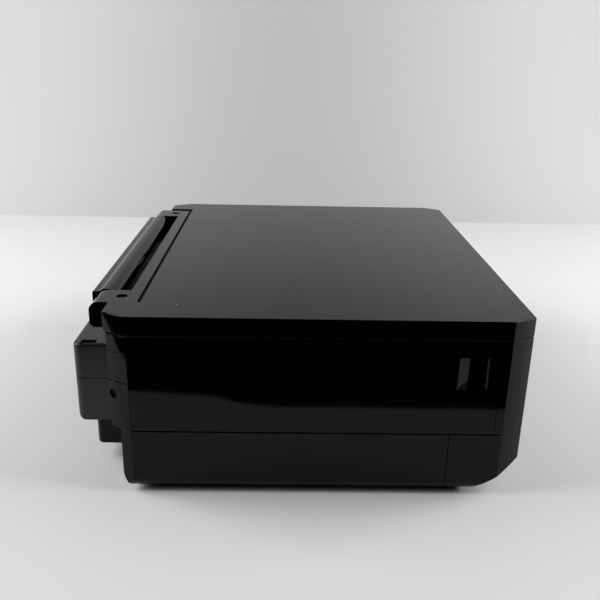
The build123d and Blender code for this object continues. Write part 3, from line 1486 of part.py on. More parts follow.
with BuildPart() as scan_carriage:
    block(scan_park - scan_bar_width / 2, scan_park + scan_bar_width / 2, glass_y0 + 2 * glass_ledge,
          glass_y1 - 2 * glass_ledge, bottom_high + slip, bottom_high + slip + scan_bar_height)
    bar_x(scan_rod_radius + rod_slip, scan_park - scan_bar_width, scan_park + scan_bar_width,
          scan_rod_y, scan_rod_z, Mode.SUBTRACT)
    block(scan_park - scan_slit_half, scan_park + scan_slit_half,
          glass_y0 + 3 * glass_ledge, glass_y1 - 3 * glass_ledge,
          bottom_high + scan_bar_height - slip, height, Mode.SUBTRACT)
save(scan_carriage, "scan_carriage")

with BuildPart() as scan_rod:
    scan_rod_reach = glass_half + shell + scan_rod_end + pin_tip
    bar_x(scan_rod_radius, -scan_rod_reach, scan_rod_reach, scan_rod_y, scan_rod_z)
save(scan_rod, "scan_rod")

spine_front = upper_back
spine_rear = back_y + spine_back
crest_y = spine_front + spine_radius + spine_crest
ledge_y = spine_rear - spine_ledge
with BuildPart() as spine_cover:
    for inset, half, mode in ((0, spine_half, Mode.ADD),
                              (spine_wall, spine_half - spine_wall, Mode.SUBTRACT)):
        crest_z = lid_hinge_z + spine_rise - inset
        ledge_z = lid_hinge_z + spine_ledge_rise - inset
        arc_z = lid_hinge_z + spine_rise - spine_radius
        slope = ((crest_y + ledge_y) / 2, (crest_z + ledge_z) / 2)
        corner = (spine_rear - inset - spine_corner, ledge_z - spine_corner)
        with BuildSketch(Plane.YZ.offset(-half)) as barrel:
            with BuildLine():
                Line((spine_front + inset, spine_low + inset), (spine_front + inset, arc_z))
                CenterArc((spine_front + spine_radius, arc_z), spine_radius - inset, 90, 90)
                Line((spine_front + spine_radius, crest_z), (crest_y, crest_z))
                TangentArc((crest_y, crest_z), slope, tangent=(1, 0))
                TangentArc((ledge_y, ledge_z), slope, tangent=(-1, 0))
                Line((ledge_y, ledge_z), (corner[0], ledge_z))
                CenterArc(corner, spine_corner, 0, 90)
                Line((spine_rear - inset, corner[1]), (spine_rear - inset, spine_low + spine_foot))
                Line((spine_rear - inset, spine_low + spine_foot), (spine_rear - spine_foot, spine_low + inset))
                Line((spine_rear - spine_foot, spine_low + inset), (spine_front + inset, spine_low + inset))
            make_face()
        extrude(barrel.sketch, amount=2 * half, mode=mode)
    block(-spine_notch_near, -spine_notch_far, spine_front - past, spine_front + spine_wall,
          lid_hinge_z + spine_radius / 2, height, Mode.SUBTRACT)
    for sign in (-1, 1):
        near, far = sorted((sign * (spine_half + past), sign * (spine_half - 2 * spine_wall)))
        bar_x(pin_radius + press_gap, near, far, lid_hinge_y, lid_hinge_z, Mode.SUBTRACT)
        near = sign * knuckle_x - knuckle_width / 2 + slip
        far = sign * knuckle_x + knuckle_width / 2 - slip
        block(near, far, lift_y - knuckle_radius, lift_y + knuckle_radius, lift_z, spine_low + spine_wall / 2)
        bar_x(knuckle_radius, near, far, lift_y, lift_z)
        bar_x(lift_pin_radius + press_gap, near - past, far + past, lift_y, lift_z, Mode.SUBTRACT)
save(spine_cover, "spine_cover")

with BuildPart() as hinge_pins:
    for sign in (-1, 1):
        near, far = sorted((sign * (spine_half - 2 * spine_wall), sign * (arm_inner + hinge_pin_grip)))
        bar_x(pin_radius, near, far, lid_hinge_y, lid_hinge_z)
        near = sign * knuckle_x - 1.5 * knuckle_width
        bar_x(lift_pin_radius, near, near + 3 * knuckle_width, lift_y, lift_z)
save(hinge_pins, "hinge_pins")

with BuildPart() as support_stay:
    with BuildSketch(Plane.YZ.offset(stay_x - stay_width / 2)) as bar:
        with Locations((stay_y + stay_length / 2, stay_z)):
            SlotCenterToCenter(stay_length, stay_depth)
        with Locations((stay_y, stay_z)):
            Circle(stay_pin + running, mode=Mode.SUBTRACT)
    extrude(bar.sketch, amount=stay_width)
    bar_x(stay_pin, stay_x, stay_x + stay_width / 2 + track_gap + track_wall + pin_tip,
          stay_y + stay_length, stay_z)
save(support_stay, "support_stay")

# Lid: shell, white pad, and the hinge bracket set into a notch at its back edge
with BuildPart() as lid_shell:
    plan_slab(0, front_y, back_y, lid_underside, height)
    fillet(lid_shell.faces().sort_by(Axis.Z)[-1].edges(), edge_round)
    fillet(lid_shell.faces().sort_by(Axis.Z)[0].edges(), edge_light)
    with BuildPart(mode=Mode.PRIVATE) as lid_hollow:
        plan_slab(shell, front_y, width, 0, height - lid_top_skin)
        block(-notch_half - shell, notch_half + shell, back_y - notch_depth - shell, width, 0, height,
              Mode.SUBTRACT)
    add(lid_hollow.part, mode=Mode.SUBTRACT)
    block(-notch_half, notch_half, back_y - notch_depth, width, 0, 2 * height, Mode.SUBTRACT)
    block(-notch_half - shell / 2, notch_half + shell / 2, back_y - notch_depth - shell / 2,
          back_y + bracket_strip_back, lid_underside, lid_underside + bracket_floor)
save(lid_shell, "lid_shell")

with BuildPart() as document_pad:
    pad_low = scanner_top + slip
    pad_high = height - lid_top_skin
    pad_half_x = glass_half + pad_margin
    block(-pad_half_x, pad_half_x, glass_y0 - pad_margin, glass_y1 + pad_margin, pad_low, pad_high)
    block(-pad_half_x + pad_skin, pad_half_x - pad_skin, glass_y0 - pad_margin + pad_skin,
          glass_y1 + pad_margin - pad_skin, pad_low + pad_skin, height, Mode.SUBTRACT)
    fillet(document_pad.faces().sort_by(Axis.Z)[0].edges(), edge_round)
save(document_pad, "document_pad")

bracket_half = notch_half - bracket_gap
bracket_low = lid_underside + bracket_floor + slip
strip_front = back_y - notch_depth + bracket_gap
strip_back = back_y + bracket_strip_back
arm_back_y = back_y + arm_back
with BuildPart() as hinge_bracket:
    block(-bracket_half, bracket_half, strip_front, strip_back, bracket_low, bracket_top)
    block(-bracket_half + bracket_wall, bracket_half - bracket_wall, strip_front + bracket_wall,
          strip_back - bracket_wall, 0, bracket_top - bracket_wall, Mode.SUBTRACT)
    for sign in (-1, 1):
        near, far = sorted((sign * arm_inner, sign * bracket_half))
        with BuildSketch(Plane.YZ.offset(near)) as arm:
            with BuildLine():
                Polyline(
                    (strip_back - bracket_wall, bracket_low),
                    (strip_back - bracket_wall, bracket_top),
                    (arm_back_y - arm_round, bracket_top),
                )
                CenterArc((arm_back_y - arm_round, bracket_top - arm_round), arm_round, 0, 90)
                Polyline(
                    (arm_back_y, bracket_top - arm_round),
                    (arm_back_y, arm_low + spine_foot),
                    (arm_back_y - spine_foot, arm_low),
                    (back_y - spine_foot, arm_low),
                    (pocket_front + 2 * edge_round, bracket_low),
                    (strip_back - bracket_wall, bracket_low),
                )
            make_face()
        extrude(arm.sketch, amount=far - near)
        near, far = sorted((sign * (arm_inner - past), sign * (arm_inner + hinge_pin_grip + slip)))
        bar_x(pin_radius + running, near, far, lid_hinge_y, lid_hinge_z, Mode.SUBTRACT)
        with Locations((sign * arm_screw_x, back_y + arm_screw_back, bracket_top)):
            CounterBoreHole(cover_screw_radius, bracket_screw_recess, bracket_screw_depth,
                            bracket_screw_length)
save(hinge_bracket, "hinge_bracket")

with BuildPart() as bracket_screws:
    seat_z = bracket_top - bracket_screw_depth
    for sign in (-1, 1):
        with BuildSketch(Plane.XY.offset(seat_z)) as head:
            with Locations((sign * arm_screw_x, back_y + arm_screw_back)):
                Circle(bracket_screw_head)
        extrude(head.sketch, amount=cover_screw_head)
        with BuildSketch(Plane.XY.offset(seat_z)) as shank:
            with Locations((sign * arm_screw_x, back_y + arm_screw_back)):
                Circle(cover_screw_radius - slip / 2)
        extrude(shank.sketch, amount=-bracket_screw_length + bracket_screw_depth + slip)
        with BuildSketch(Plane.XY.offset(seat_z + cover_screw_head / 2)) as cross:
            with Locations((sign * arm_screw_x, back_y + arm_screw_back)):
                Rectangle(2 * cover_screw_radius, cover_screw_slot)
                Rectangle(cover_screw_slot, 2 * cover_screw_radius)
        extrude(cross.sketch, amount=cover_screw_head, mode=Mode.SUBTRACT)
save(bracket_screws, "bracket_screws")

# Turning unit at the back: two shells, a roller and two release buttons
turn_front_low = base_back + seam
turn_front_high = upper_back + seam
turn_inner_front = upper_back - turn_inner_reach
turn_roller_y = back_y + turn_roller_back
with BuildPart() as turn_lower_shell:
    block(-turn_half, turn_half, turn_front_low, rear_y, turn_low, turn_split - seam / 2)
    back_edges = turn_lower_shell.edges().filter_by(Axis.Z).group_by(Axis.Y)[-1]
    low_edges = turn_lower_shell.edges().filter_by(Axis.X).group_by(Axis.Y)[-1].sort_by(Axis.Z)[:1]
    fillet(back_edges + low_edges, turn_round)
    block(-width, width, 0, turn_front_high, base_top - past, height, Mode.SUBTRACT)
    block(-turn_inner_half, turn_inner_half, turn_inner_front, turn_front_high + past,
          turn_inner_low, turn_split - seam / 2)
    block(-turn_inner_half + shell, turn_inner_half - shell, turn_inner_front - past, rear_y - shell,
          turn_inner_low + shell, height, Mode.SUBTRACT)
    block(-turn_half + turn_round, turn_half - turn_round, turn_front_high + shell, rear_y - turn_round,
          turn_low + shell, height, Mode.SUBTRACT)
    for sign in (-1, 1):
        near, far = sorted((sign * turn_rib_x, sign * (turn_rib_x + shell)))
        block(near, far, turn_roller_y - 2 * turn_journal, turn_roller_y + 2 * turn_journal,
              turn_low + shell / 2, turn_roller_z + 2 * turn_journal)
        bar_x(turn_journal + running, near - past, far + past, turn_roller_y, turn_roller_z,
              Mode.SUBTRACT)
save(turn_lower_shell, "turn_lower_shell")

with BuildPart() as turn_upper_shell:
    block(-turn_half, turn_half, turn_front_high, rear_y, turn_split + seam / 2, turn_top)
    back_edges = turn_upper_shell.edges().filter_by(Axis.Z).group_by(Axis.Y)[-1]
    fillet(back_edges, turn_round)
    top_edges = turn_upper_shell.faces().sort_by(Axis.Z)[-1].edges().sort_by(Axis.Y)[1:]
    fillet(top_edges, turn_top_round)
    block(-turn_inner_half, turn_inner_half, turn_inner_front, turn_front_high + past,
          turn_split + seam / 2, turn_inner_high)
    block(-turn_inner_half + shell, turn_inner_half - shell, turn_inner_front - past, rear_y - turn_round,
          0, turn_inner_high - shell, Mode.SUBTRACT)
    for sign in (-1, 1):
        block(sign * release_x - release_length / 2, sign * release_x + release_length / 2,
              release_y - release_width / 2, release_y + release_width / 2,
              release_low - release_travel - seam, height, Mode.SUBTRACT)
save(turn_upper_shell, "turn_upper_shell")

with BuildPart() as release_buttons:
    for sign in (-1, 1):
        block(sign * release_x - release_length / 2 + slip, sign * release_x + release_length / 2 - slip,
              release_y - release_width / 2 + slip, release_y + release_width / 2 - slip,
              release_low, turn_top - release_drop)
    chamfer(release_buttons.faces().group_by(Axis.Z)[-1].edges(), foot_bevel)
save(release_buttons, "release_buttons")

with BuildPart() as turn_roller:
    turn_journal_half = turn_rib_x + shell + pin_tip
    bar_x(turn_journal, -turn_journal_half, turn_journal_half, turn_roller_y, turn_roller_z)
    for x in roller_spots(nip_count, turn_roller_half):
        bar_x(turn_roller_radius, x - nip_width, x + nip_width, turn_roller_y, turn_roller_z)
save(turn_roller, "turn_roller")
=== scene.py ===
import math

import bmesh
import bpy
from mathutils import Matrix, Vector


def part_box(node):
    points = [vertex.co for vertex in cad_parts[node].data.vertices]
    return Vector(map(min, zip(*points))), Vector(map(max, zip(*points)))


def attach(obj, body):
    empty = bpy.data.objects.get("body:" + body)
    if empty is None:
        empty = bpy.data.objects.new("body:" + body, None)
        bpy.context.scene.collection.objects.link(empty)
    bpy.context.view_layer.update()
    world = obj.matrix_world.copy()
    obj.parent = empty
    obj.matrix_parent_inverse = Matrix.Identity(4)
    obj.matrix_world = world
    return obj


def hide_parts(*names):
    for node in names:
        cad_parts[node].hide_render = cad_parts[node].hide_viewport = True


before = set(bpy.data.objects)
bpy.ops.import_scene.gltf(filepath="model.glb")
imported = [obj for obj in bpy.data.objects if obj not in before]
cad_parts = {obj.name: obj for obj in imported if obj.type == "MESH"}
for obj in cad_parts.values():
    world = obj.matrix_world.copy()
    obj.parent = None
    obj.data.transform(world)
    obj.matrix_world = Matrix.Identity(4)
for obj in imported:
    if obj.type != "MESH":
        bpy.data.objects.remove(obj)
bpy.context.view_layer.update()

# Metres, in the frame of the CAD model: X to the user's right, Y to the back, Z up.
RIGHT = Vector((1, 0, 0))
BACK = Vector((0, 1, 0))
UP = Vector((0, 0, 1))

# Camera, worked out from the photograph's outline
CAMERA_PLACE = Vector((-0.6862, 0.0089, 0.3414))
CAMERA_PITCH = math.radians(19.73)
CAMERA_YAW = math.radians(-1.35)
CAMERA_ROLL = math.radians(1.27)
CAMERA_LENS = 43.12
SENSOR_WIDTH = 36.0

# Studio: the edge of the table that the gloss reflects, as X and Y, and the sweep behind
FLOOR_REACH = 1.3
TABLE_EDGE = (
    (-0.335, -FLOOR_REACH), (-0.339, -0.21), (-0.341, 0.02), (-0.349, 0.056), (-0.361, 0.078),
    (-0.371, 0.166), (-0.345, 0.27), (-0.268, 0.455), (0.1, 1.0), (0.16, FLOOR_REACH),
)
SWEEP_START_X = 0.75
SWEEP_RADIUS = 0.55
SWEEP_STEPS = 24
WALL_HEIGHT = 2.2
TABLE_SHADE = 0.80
WALL_SHADE = 0.75
# Painted shade on the wall: its middle is painted this share darker, fading out over this reach to
# either side
WALL_MIDDLE_PAINTED_SHADE = 0.77
WALL_PAINTED_SHADE_REACH = 0.75
PAPER_CLOUDING = 1.03
ROOM_DARK = (0.006, 0.006, 0.006, 1)
ROOM_PALE = (0.62, 0.62, 0.625, 1)

# Softboxes: name, place, target, size, power in watts, and whether the gloss shows it
SOFTBOXES = (
    ("left_softbox", (0.0, 1.25, 0.75), (0.37, 0.17, 0), (1.1, 1.0), 17, True),
    ("right_softbox", (0.0, -1.25, 0.75), (0.37, -0.17, 0), (1.1, 1.0), 18, True),
    ("left_fill", (-0.08, 0.9, 0.9), (-0.05, 0.3, 0), (0.8, 0.8), 3, False),
    ("right_fill", (-0.08, -0.9, 0.9), (-0.05, -0.3, 0), (0.8, 0.8), 1.5, False),
    ("top_softbox", (0.2, 0, 1.7), (0.15, 0, 0), (1.4, 1.4), 0.3, False),
)

# Reflectance of the moulded gloss black, and its waviness
GLOSS_IOR = 1.27
CASE_WAVE = 0.00002
LID_WAVE = 0.000012

# Crumbs of dust on the lid, as X and Y
CRUMB_RADIUS = 0.0007
CRUMB_CORE = 0.6
CRUMB_SHADE = (0.4, 0.4, 0.39)
LID_CRUMBS = ((-0.16688, 0.09136), (-0.12352, -0.16981))

# Rough notch in the lid round the hinge bracket
NOTCH_MIDDLE = 0.0008
NOTCH_HALF = 0.1639
NOTCH_Y = 0.1197

# Power key and its mark
POWER_KEY_X = -0.165
POWER_KEY_Z = 0.122
POWER_RING = 0.0022
POWER_LINE = 0.00035
POWER_GAP = 2.5 * POWER_LINE
POWER_BAR_HALF = 0.6 * POWER_RING
POWER_SHADE = (0.5, 0.5, 0.5)

# Mark on the card door. The line is a share of the mark's half sizes.
CARD_MARK_X = -0.165
CARD_MARK_Z = 0.098
CARD_HALF_X = 0.0035
CARD_HALF_Z = 0.0045
CARD_LINE = 0.09

# Main board: its sockets begin at this X
SOCKET_X = -0.1784

# Printed marks stand this far proud of their surface, and are this thick to either side
MARK_PROUD = 0.00003
MARK_THICKNESS = 0.00004
PRINT_RELIEF = 0.000004
PRINT_SHADE = (0.16, 0.16, 0.165)

# Screen and its pictograms, as X and Z from the middle of the display
SCREEN_WIDTH = 0.084
SCREEN_HEIGHT = 0.036
TILE_PLACES = ((-0.026, 0.001), (0.0, 0.001), (0.026, 0.001))
TILE_SIZE = 0.020
TILE_LINE = 0.0004
ICON_LINE = 0.0006
SHEET_ICONS = (((-0.0275, 0.0025), 0.0075, 0.0095), ((-0.0235, -0.0005), 0.0065, 0.0085))
PICTURE_ICON = ((0.0, 0.002), 0.012, 0.009)
PICTURE_HILLS = (
    (-0.0052, -0.0020), (-0.001, 0.0032), (0.0016, 0.0002), (0.0028, 0.0016), (0.0052, -0.0020),
)
SCANNER_BASE = ((0.026, -0.0025), 0.013, 0.0008)
SCANNER_ICON = ((0.026, 0.0035), 0.010, 0.0065)
PAGE_ARROW_X = 0.036
PAGE_ARROW_DEPTH = 0.0025
PAGE_ARROW_TOP = -0.0125
PAGE_ARROW_BOTTOM = -0.0155
PAGE_DOTS = (-0.004, 0.0, 0.004)
PAGE_DOT = 0.0014
PAGE_ROW_Z = -0.014

# Touch marks beside the screen: home, back and menu
HOME_ROOF = ((-0.066, 0.0105), (-0.0615, 0.0145), (-0.057, 0.0105))
HOME_EAVES = ((-0.0645, 0.0105), (-0.0615, 0.0130), (-0.0585, 0.0105))
HOME_WALLS = ((-0.0615, 0.0078), 0.0062, 0.0054)
BACK_ARROW = ((-0.0645, 0.0), (-0.0615, -0.0025), (-0.0615, 0.0025))
BACK_SHAFT = ((-0.0598, 0.0), 0.0034, 0.0012)
MENU_X = -0.0615
MENU_BARS = (-0.0098, -0.012, -0.0142)
MENU_WIDTH = 0.0066
MENU_LINE = 0.0007

# Marks on and round the two keys
ARROW_TIP = 0.0125
ARROW_FOOT = 0.0105
ARROW_HALF = 0.0018
KEY_RING = 0.0074
KEY_RING_LINE = 0.0003
STOP_MARK_Z = -0.0165
STOP_RING = 0.0024
STOP_RING_LINE = 0.0005
STOP_SQUARE = 0.0018
FEED_MARK_HALF = 0.003
FEED_MARK_LOW = 0.0145
FEED_MARK_HIGH = 0.0185
OK_RING = 0.0026
OK_RING_LINE = 0.0007
START_ARROW = ((-0.0018, -0.0026), (0.0030, 0.0), (-0.0018, 0.0026))

# Page mark and paper ticks beside the glass, from its front left corner
CORNER_GAP = 0.0015
CORNER_REACH_X = 0.0065
CORNER_REACH_Y = 0.0075
TICKS_ALONG_X = (0.0889, 0.127, 0.1485, 0.1778, 0.21, 0.2159, 0.254, 0.297)
TICKS_ALONG_Y = (0.1016, 0.105, 0.127, 0.1485, 0.1778, 0.2032, 0.21)
TICK_SETBACK = 0.003
TICK_LENGTH = 0.0035
TICK_LINE = 0.0004

# White strip on the glass, and the scan bar's lens and light guide
STRIP_INSET = 0.006
STRIP_WIDTH = 0.0075
STRIP_SHORT = 0.004
BAR_SHORT = 0.010
BAR_STRIP_WIDTH = 0.0030
LENS_DEPTH = 0.0012
LENS_THICKNESS = 0.0003
GUIDE_OFFSET = 0.0062

# Labels on the ink cartridges
INKS = {
    "black": (0.012, 0.012, 0.014), "photo_black": (0.05, 0.05, 0.055), "cyan": (0.0, 0.22, 0.48),
    "magenta": (0.45, 0.01, 0.14), "yellow": (0.62, 0.46, 0.01),
}
NOSE_SLOPE = 0.014
LABEL_SHARE = 0.72
LABEL_LENGTH = 0.016
TOP_LABEL_LENGTH = 0.034

# Star wheels
STAR_COUNT = 6
STAR_SPAN = 0.125
STAR_HUB = 0.012
STAR_DISC = 0.0006
STAR_AXLE = 0.0015
STAR_TEETH = 18
STAR_ROOT = 0.82
HUB_SHARE = 0.6
HUB_CORNERS = 12

# Paper ticks on the cassette's floor
CASSETTE_WALL = 0.0025
PAPER_HALVES = (0.045, 0.0525, 0.074, 0.092, 0.105)
PAPER_TICK_Y = -0.075
PAPER_TICK_WIDTH = 0.0006
PAPER_TICK_LENGTH = 0.008
PAPER_ARROW = ((0.0985, -0.0805), (0.0985, -0.0755), (0.1020, -0.0780))


def node_tree(name):
    """A new material and its emptied node tree."""
    material = bpy.data.materials.new(name)
    material.use_nodes = True
    tree = material.node_tree
    tree.nodes.clear()
    return material, tree


def add(tree, kind, inputs=None, **settings):
    """Add a node, set its properties, and set or link its inputs."""
    node = tree.nodes.new(kind)
    for key, value in settings.items():
        setattr(node, key, value)
    for key, value in (inputs or {}).items():
        if isinstance(value, bpy.types.NodeSocket):
            tree.links.new(value, node.inputs[key])
        else:
            node.inputs[key].default_value = value
    return node


def reckon(tree, operation, first, second=None):
    """One step of arithmetic on values that vary over a surface."""
    inputs = {0: first} if second is None else {0: first, 1: second}
    return add(tree, "ShaderNodeMath", inputs, operation=operation).outputs[0]


def object_place(tree):
    """The object's own coordinates, which a body's pose does not move."""
    return add(tree, "ShaderNodeTexCoord").outputs["Object"]


def axes_of(tree, place):
    """The X, Y and Z of a place."""
    return add(tree, "ShaderNodeSeparateXYZ", {0: place}).outputs


def noise(tree, scale, detail=2.0, roughness=0.5, stretch=(1.0, 1.0, 1.0)):
    """Noise over the object's own coordinates."""
    mapping = add(tree, "ShaderNodeMapping", {"Vector": object_place(tree), "Scale": stretch})
    texture = add(tree, "ShaderNodeTexNoise", {
        "Vector": mapping.outputs["Vector"], "Scale": scale, "Detail": detail,
        "Roughness": roughness,
    })
    return texture.outputs["Fac"]


def spread(tree, value, source, result, **settings):
    """Map a texture's values from one range to another."""
    node = add(tree, "ShaderNodeMapRange", {
        "Value": value, "From Min": source[0], "From Max": source[1],
        "To Min": result[0], "To Max": result[1],
    }, **settings)
    return node.outputs["Result"]


def mix_colour(tree, share, first, second):
    """A colour between two, by a texture's value."""
    ramp = add(tree, "ShaderNodeMix", {"Factor": share}, data_type="RGBA")
    for socket, colour in ((6, first), (7, second)):
        if isinstance(colour, bpy.types.NodeSocket):
            tree.links.new(colour, ramp.inputs[socket])
        else:
            ramp.inputs[socket].default_value = (*colour, 1.0)
    return ramp.outputs[2]


def surface(tree, colour, roughness, bump=None, strength=0.1, depth=0.0001, **sockets):
    """Close a material with one Principled shader."""
    inputs = {"Roughness": roughness}
    if isinstance(colour, bpy.types.NodeSocket):
        inputs["Base Color"] = colour
    else:
        inputs["Base Color"] = (*colour, 1.0)
    for key, value in sockets.items():
        inputs[key.replace("_", " ")] = value
    if bump is not None:
        relief = add(tree, "ShaderNodeBump", {
            "Height": bump, "Strength": strength, "Distance": depth,
        })
        inputs["Normal"] = relief.outputs["Normal"]
    shader = add(tree, "ShaderNodeBsdfPrincipled", inputs)
    add(tree, "ShaderNodeOutputMaterial", {"Surface": shader.outputs["BSDF"]})


def crumb(tree, colour, x, y):
    """A crumb of dust that lies at one place of a flat top."""
    flat = add(tree, "ShaderNodeMapping", {"Vector": object_place(tree), "Scale": (1, 1, 0)})
    away = add(tree, "ShaderNodeVectorMath", {0: flat.outputs["Vector"], 1: (x, y, 0)},
               operation="DISTANCE")
    rim_to_core = (CRUMB_RADIUS, CRUMB_CORE * CRUMB_RADIUS)
    near = spread(tree, away.outputs["Value"], rim_to_core, (0.0, 1.0))
    return mix_colour(tree, near, colour, CRUMB_SHADE)


def notch_floor(tree, film):
    """The notch round the hinge bracket, its floor and its lip, is left rough by the mould."""
    axes = axes_of(tree, object_place(tree))
    aside = reckon(tree, "ABSOLUTE", reckon(tree, "SUBTRACT", axes["X"], NOTCH_MIDDLE))
    inside = reckon(tree, "LESS_THAN", aside, NOTCH_HALF)
    behind = reckon(tree, "GREATER_THAN", axes["Y"], NOTCH_Y)
    return reckon(tree, "MAXIMUM", reckon(tree, "MULTIPLY", inside, behind), film)


def card_mark(tree, colour):
    """The outline of a memory card, printed on the card door."""
    scaled = add(tree, "ShaderNodeMapping", {
        "Vector": object_place(tree),
        "Location": (-CARD_MARK_X / CARD_HALF_X, 0, -CARD_MARK_Z / CARD_HALF_Z),
        "Scale": (1 / CARD_HALF_X, 0, 1 / CARD_HALF_Z),
    })
    axes = axes_of(tree, scaled.outputs["Vector"])
    aside = reckon(tree, "ABSOLUTE", axes["X"])
    above = reckon(tree, "ABSOLUTE", axes["Z"])
    off_edge = reckon(tree, "SUBTRACT", reckon(tree, "MAXIMUM", aside, above), 1.0)
    line = reckon(tree, "LESS_THAN", reckon(tree, "ABSOLUTE", off_edge), CARD_LINE)
    return mix_colour(tree, line, colour, PRINT_SHADE)


def gloss_black(name, wipe=(1.0, 1.0, 1.0), wave=CASE_WAVE, crumbs=(), notched=False,
                carded=False):
    """Moulded gloss black: nearly a mirror, with faint wiping marks, dust and waviness."""
    material, tree = node_tree(name)
    smear = noise(tree, scale=9.0, detail=4.0, roughness=0.6, stretch=wipe)
    dust = noise(tree, scale=900.0, detail=1.0)
    film = spread(tree, smear, (0.35, 0.75), (0.045, 0.10))
    specks = spread(tree, dust, (0.72, 0.78), (0.0, 1.0))
    colour = mix_colour(tree, specks, (0.0011, 0.0011, 0.0013), (0.012, 0.012, 0.012))
    for x, y in crumbs:
        colour = crumb(tree, colour, x, y)
    if notched:
        film = notch_floor(tree, film)
    if carded:
        colour = card_mark(tree, colour)
    ripple = noise(tree, scale=22.0, detail=1.0)
    surface(tree, colour, film, ripple, strength=0.25, depth=wave, IOR=GLOSS_IOR)
    return material


def satin_plastic(name, shade, rough=0.42, depth=0.00008):
    """Spark-eroded plastic: an even fine grain with slightly uneven sheen."""
    material, tree = node_tree(name)
    cloud = noise(tree, scale=18.0, detail=3.0)
    pits = noise(tree, scale=1400.0, detail=2.0, roughness=0.7)
    tone = spread(tree, cloud, (0.3, 0.7), (0.0, 1.0))
    darker = tuple(0.88 * c for c in shade)
    lighter = tuple(1.1 * c for c in shade)
    colour = mix_colour(tree, tone, darker, lighter)
    sheen = spread(tree, pits, (0.3, 0.7), (rough - 0.06, rough + 0.08))
    surface(tree, colour, sheen, pits, strength=0.35, depth=depth)
    return material


def print_ink(name, shade, rough):
    """Something smooth and thin: print, a label, or a strip."""
    return satin_plastic(name, shade, rough=rough, depth=PRINT_RELIEF)


def power_key(name):
    """The power key's face carries its mark: a ring open at the top, with a bar in the gap."""
    material, tree = node_tree(name)
    moved = add(tree, "ShaderNodeMapping", {
        "Vector": object_place(tree), "Location": (-POWER_KEY_X, 0, -POWER_KEY_Z),
    })
    axes = axes_of(tree, moved.outputs["Vector"])
    plane = add(tree, "ShaderNodeCombineXYZ", {"X": axes["X"], "Y": axes["Z"]})
    away = add(tree, "ShaderNodeVectorMath", {0: plane.outputs[0]}, operation="LENGTH")
    off_ring = reckon(tree, "SUBTRACT", away.outputs["Value"], POWER_RING)
    on_ring = reckon(tree, "LESS_THAN", reckon(tree, "ABSOLUTE", off_ring), POWER_LINE)
    aside = reckon(tree, "ABSOLUTE", axes["X"])
    beside = reckon(tree, "GREATER_THAN", aside, POWER_GAP)
    below = reckon(tree, "LESS_THAN", axes["Z"], 0.0)
    ring = reckon(tree, "MULTIPLY", on_ring, reckon(tree, "MAXIMUM", beside, below))
    on_bar = reckon(tree, "LESS_THAN", aside, POWER_LINE)
    off_bar = reckon(tree, "ABSOLUTE", reckon(tree, "SUBTRACT", axes["Z"], POWER_RING))
    in_bar = reckon(tree, "LESS_THAN", off_bar, POWER_BAR_HALF)
    mark = reckon(tree, "MAXIMUM", ring, reckon(tree, "MULTIPLY", on_bar, in_bar))
    cloud = noise(tree, scale=18.0, detail=3.0)
    plain = mix_colour(tree, cloud, (0.018, 0.018, 0.020), (0.022, 0.022, 0.024))
    surface(tree, mix_colour(tree, mark, plain, POWER_SHADE), 0.3)
    return material


def rubber(name, shade=(0.012, 0.012, 0.012)):
    """Rubber: dull, faintly mottled."""
    material, tree = node_tree(name)
    mottle = noise(tree, scale=300.0, detail=3.0)
    colour = mix_colour(tree, mottle, shade, tuple(2.2 * c for c in shade))
    rough = spread(tree, mottle, (0.3, 0.7), (0.7, 0.9))
    surface(tree, colour, rough, mottle, strength=0.3, depth=0.0001)
    return material


def metal(name, shade, rough, stretch=(1.0, 1.0, 1.0)):
    """Rolled or ground metal, with fine lines along one direction."""
    material, tree = node_tree(name)
    lines = noise(tree, scale=500.0, detail=3.0, roughness=0.6, stretch=stretch)
    tone = spread(tree, lines, (0.3, 0.7), (0.0, 1.0))
    colour = mix_colour(tree, tone, tuple(0.8 * c for c in shade), shade)
    sheen = spread(tree, lines, (0.3, 0.7), (rough - 0.07, rough + 0.1))
    surface(tree, colour, sheen, lines, strength=0.15, depth=0.00003, Metallic=1.0)
    return material


def clear_glass(name):
    """Flat glass with a faint green body and wiping marks."""
    material, tree = node_tree(name)
    smear = noise(tree, scale=12.0, detail=4.0)
    film = spread(tree, smear, (0.4, 0.8), (0.0, 0.04))
    surface(tree, (0.86, 0.93, 0.9), film, Transmission_Weight=0.9, IOR=1.5)
    return material


def circuit_board(name):
    """Green lacquer over copper tracks, and the dark sockets that stand on the board."""
    material, tree = node_tree(name)
    place = object_place(tree)
    tracks = add(tree, "ShaderNodeTexBrick", {
        "Vector": place, "Scale": 160.0, "Mortar Size": 0.012,
        "Color1": (0.006, 0.07, 0.03, 1), "Color2": (0.008, 0.09, 0.035, 1),
        "Mortar": (0.02, 0.16, 0.06, 1),
    })
    socket = reckon(tree, "GREATER_THAN", axes_of(tree, place)["X"], SOCKET_X)
    colour = mix_colour(tree, socket, tracks.outputs["Color"], (0.035, 0.035, 0.037))
    surface(tree, colour, 0.28, tracks.outputs["Fac"], strength=0.3, depth=0.00005)
    return material


def white_pad(name):
    """The soft white sheet of the document pad: a fine felt with slight clouding."""
    material, tree = node_tree(name)
    felt = noise(tree, scale=1600.0, detail=3.0, roughness=0.7)
    cloud = noise(tree, scale=10.0, detail=2.0)
    colour = mix_colour(tree, cloud, (0.80, 0.80, 0.78), (0.86, 0.86, 0.84))
    surface(tree, colour, 0.8, felt, strength=0.4, depth=0.0002)
    return material


def nylon(name, shade=(0.68, 0.67, 0.61)):
    """Natural nylon gears: slightly waxy."""
    material, tree = node_tree(name)
    cloud = noise(tree, scale=80.0, detail=3.0)
    colour = mix_colour(tree, cloud, tuple(0.9 * c for c in shade), shade)
    rough = spread(tree, cloud, (0.3, 0.7), (0.38, 0.5))
    surface(tree, colour, rough, cloud, strength=0.1, depth=0.0001)
    return material


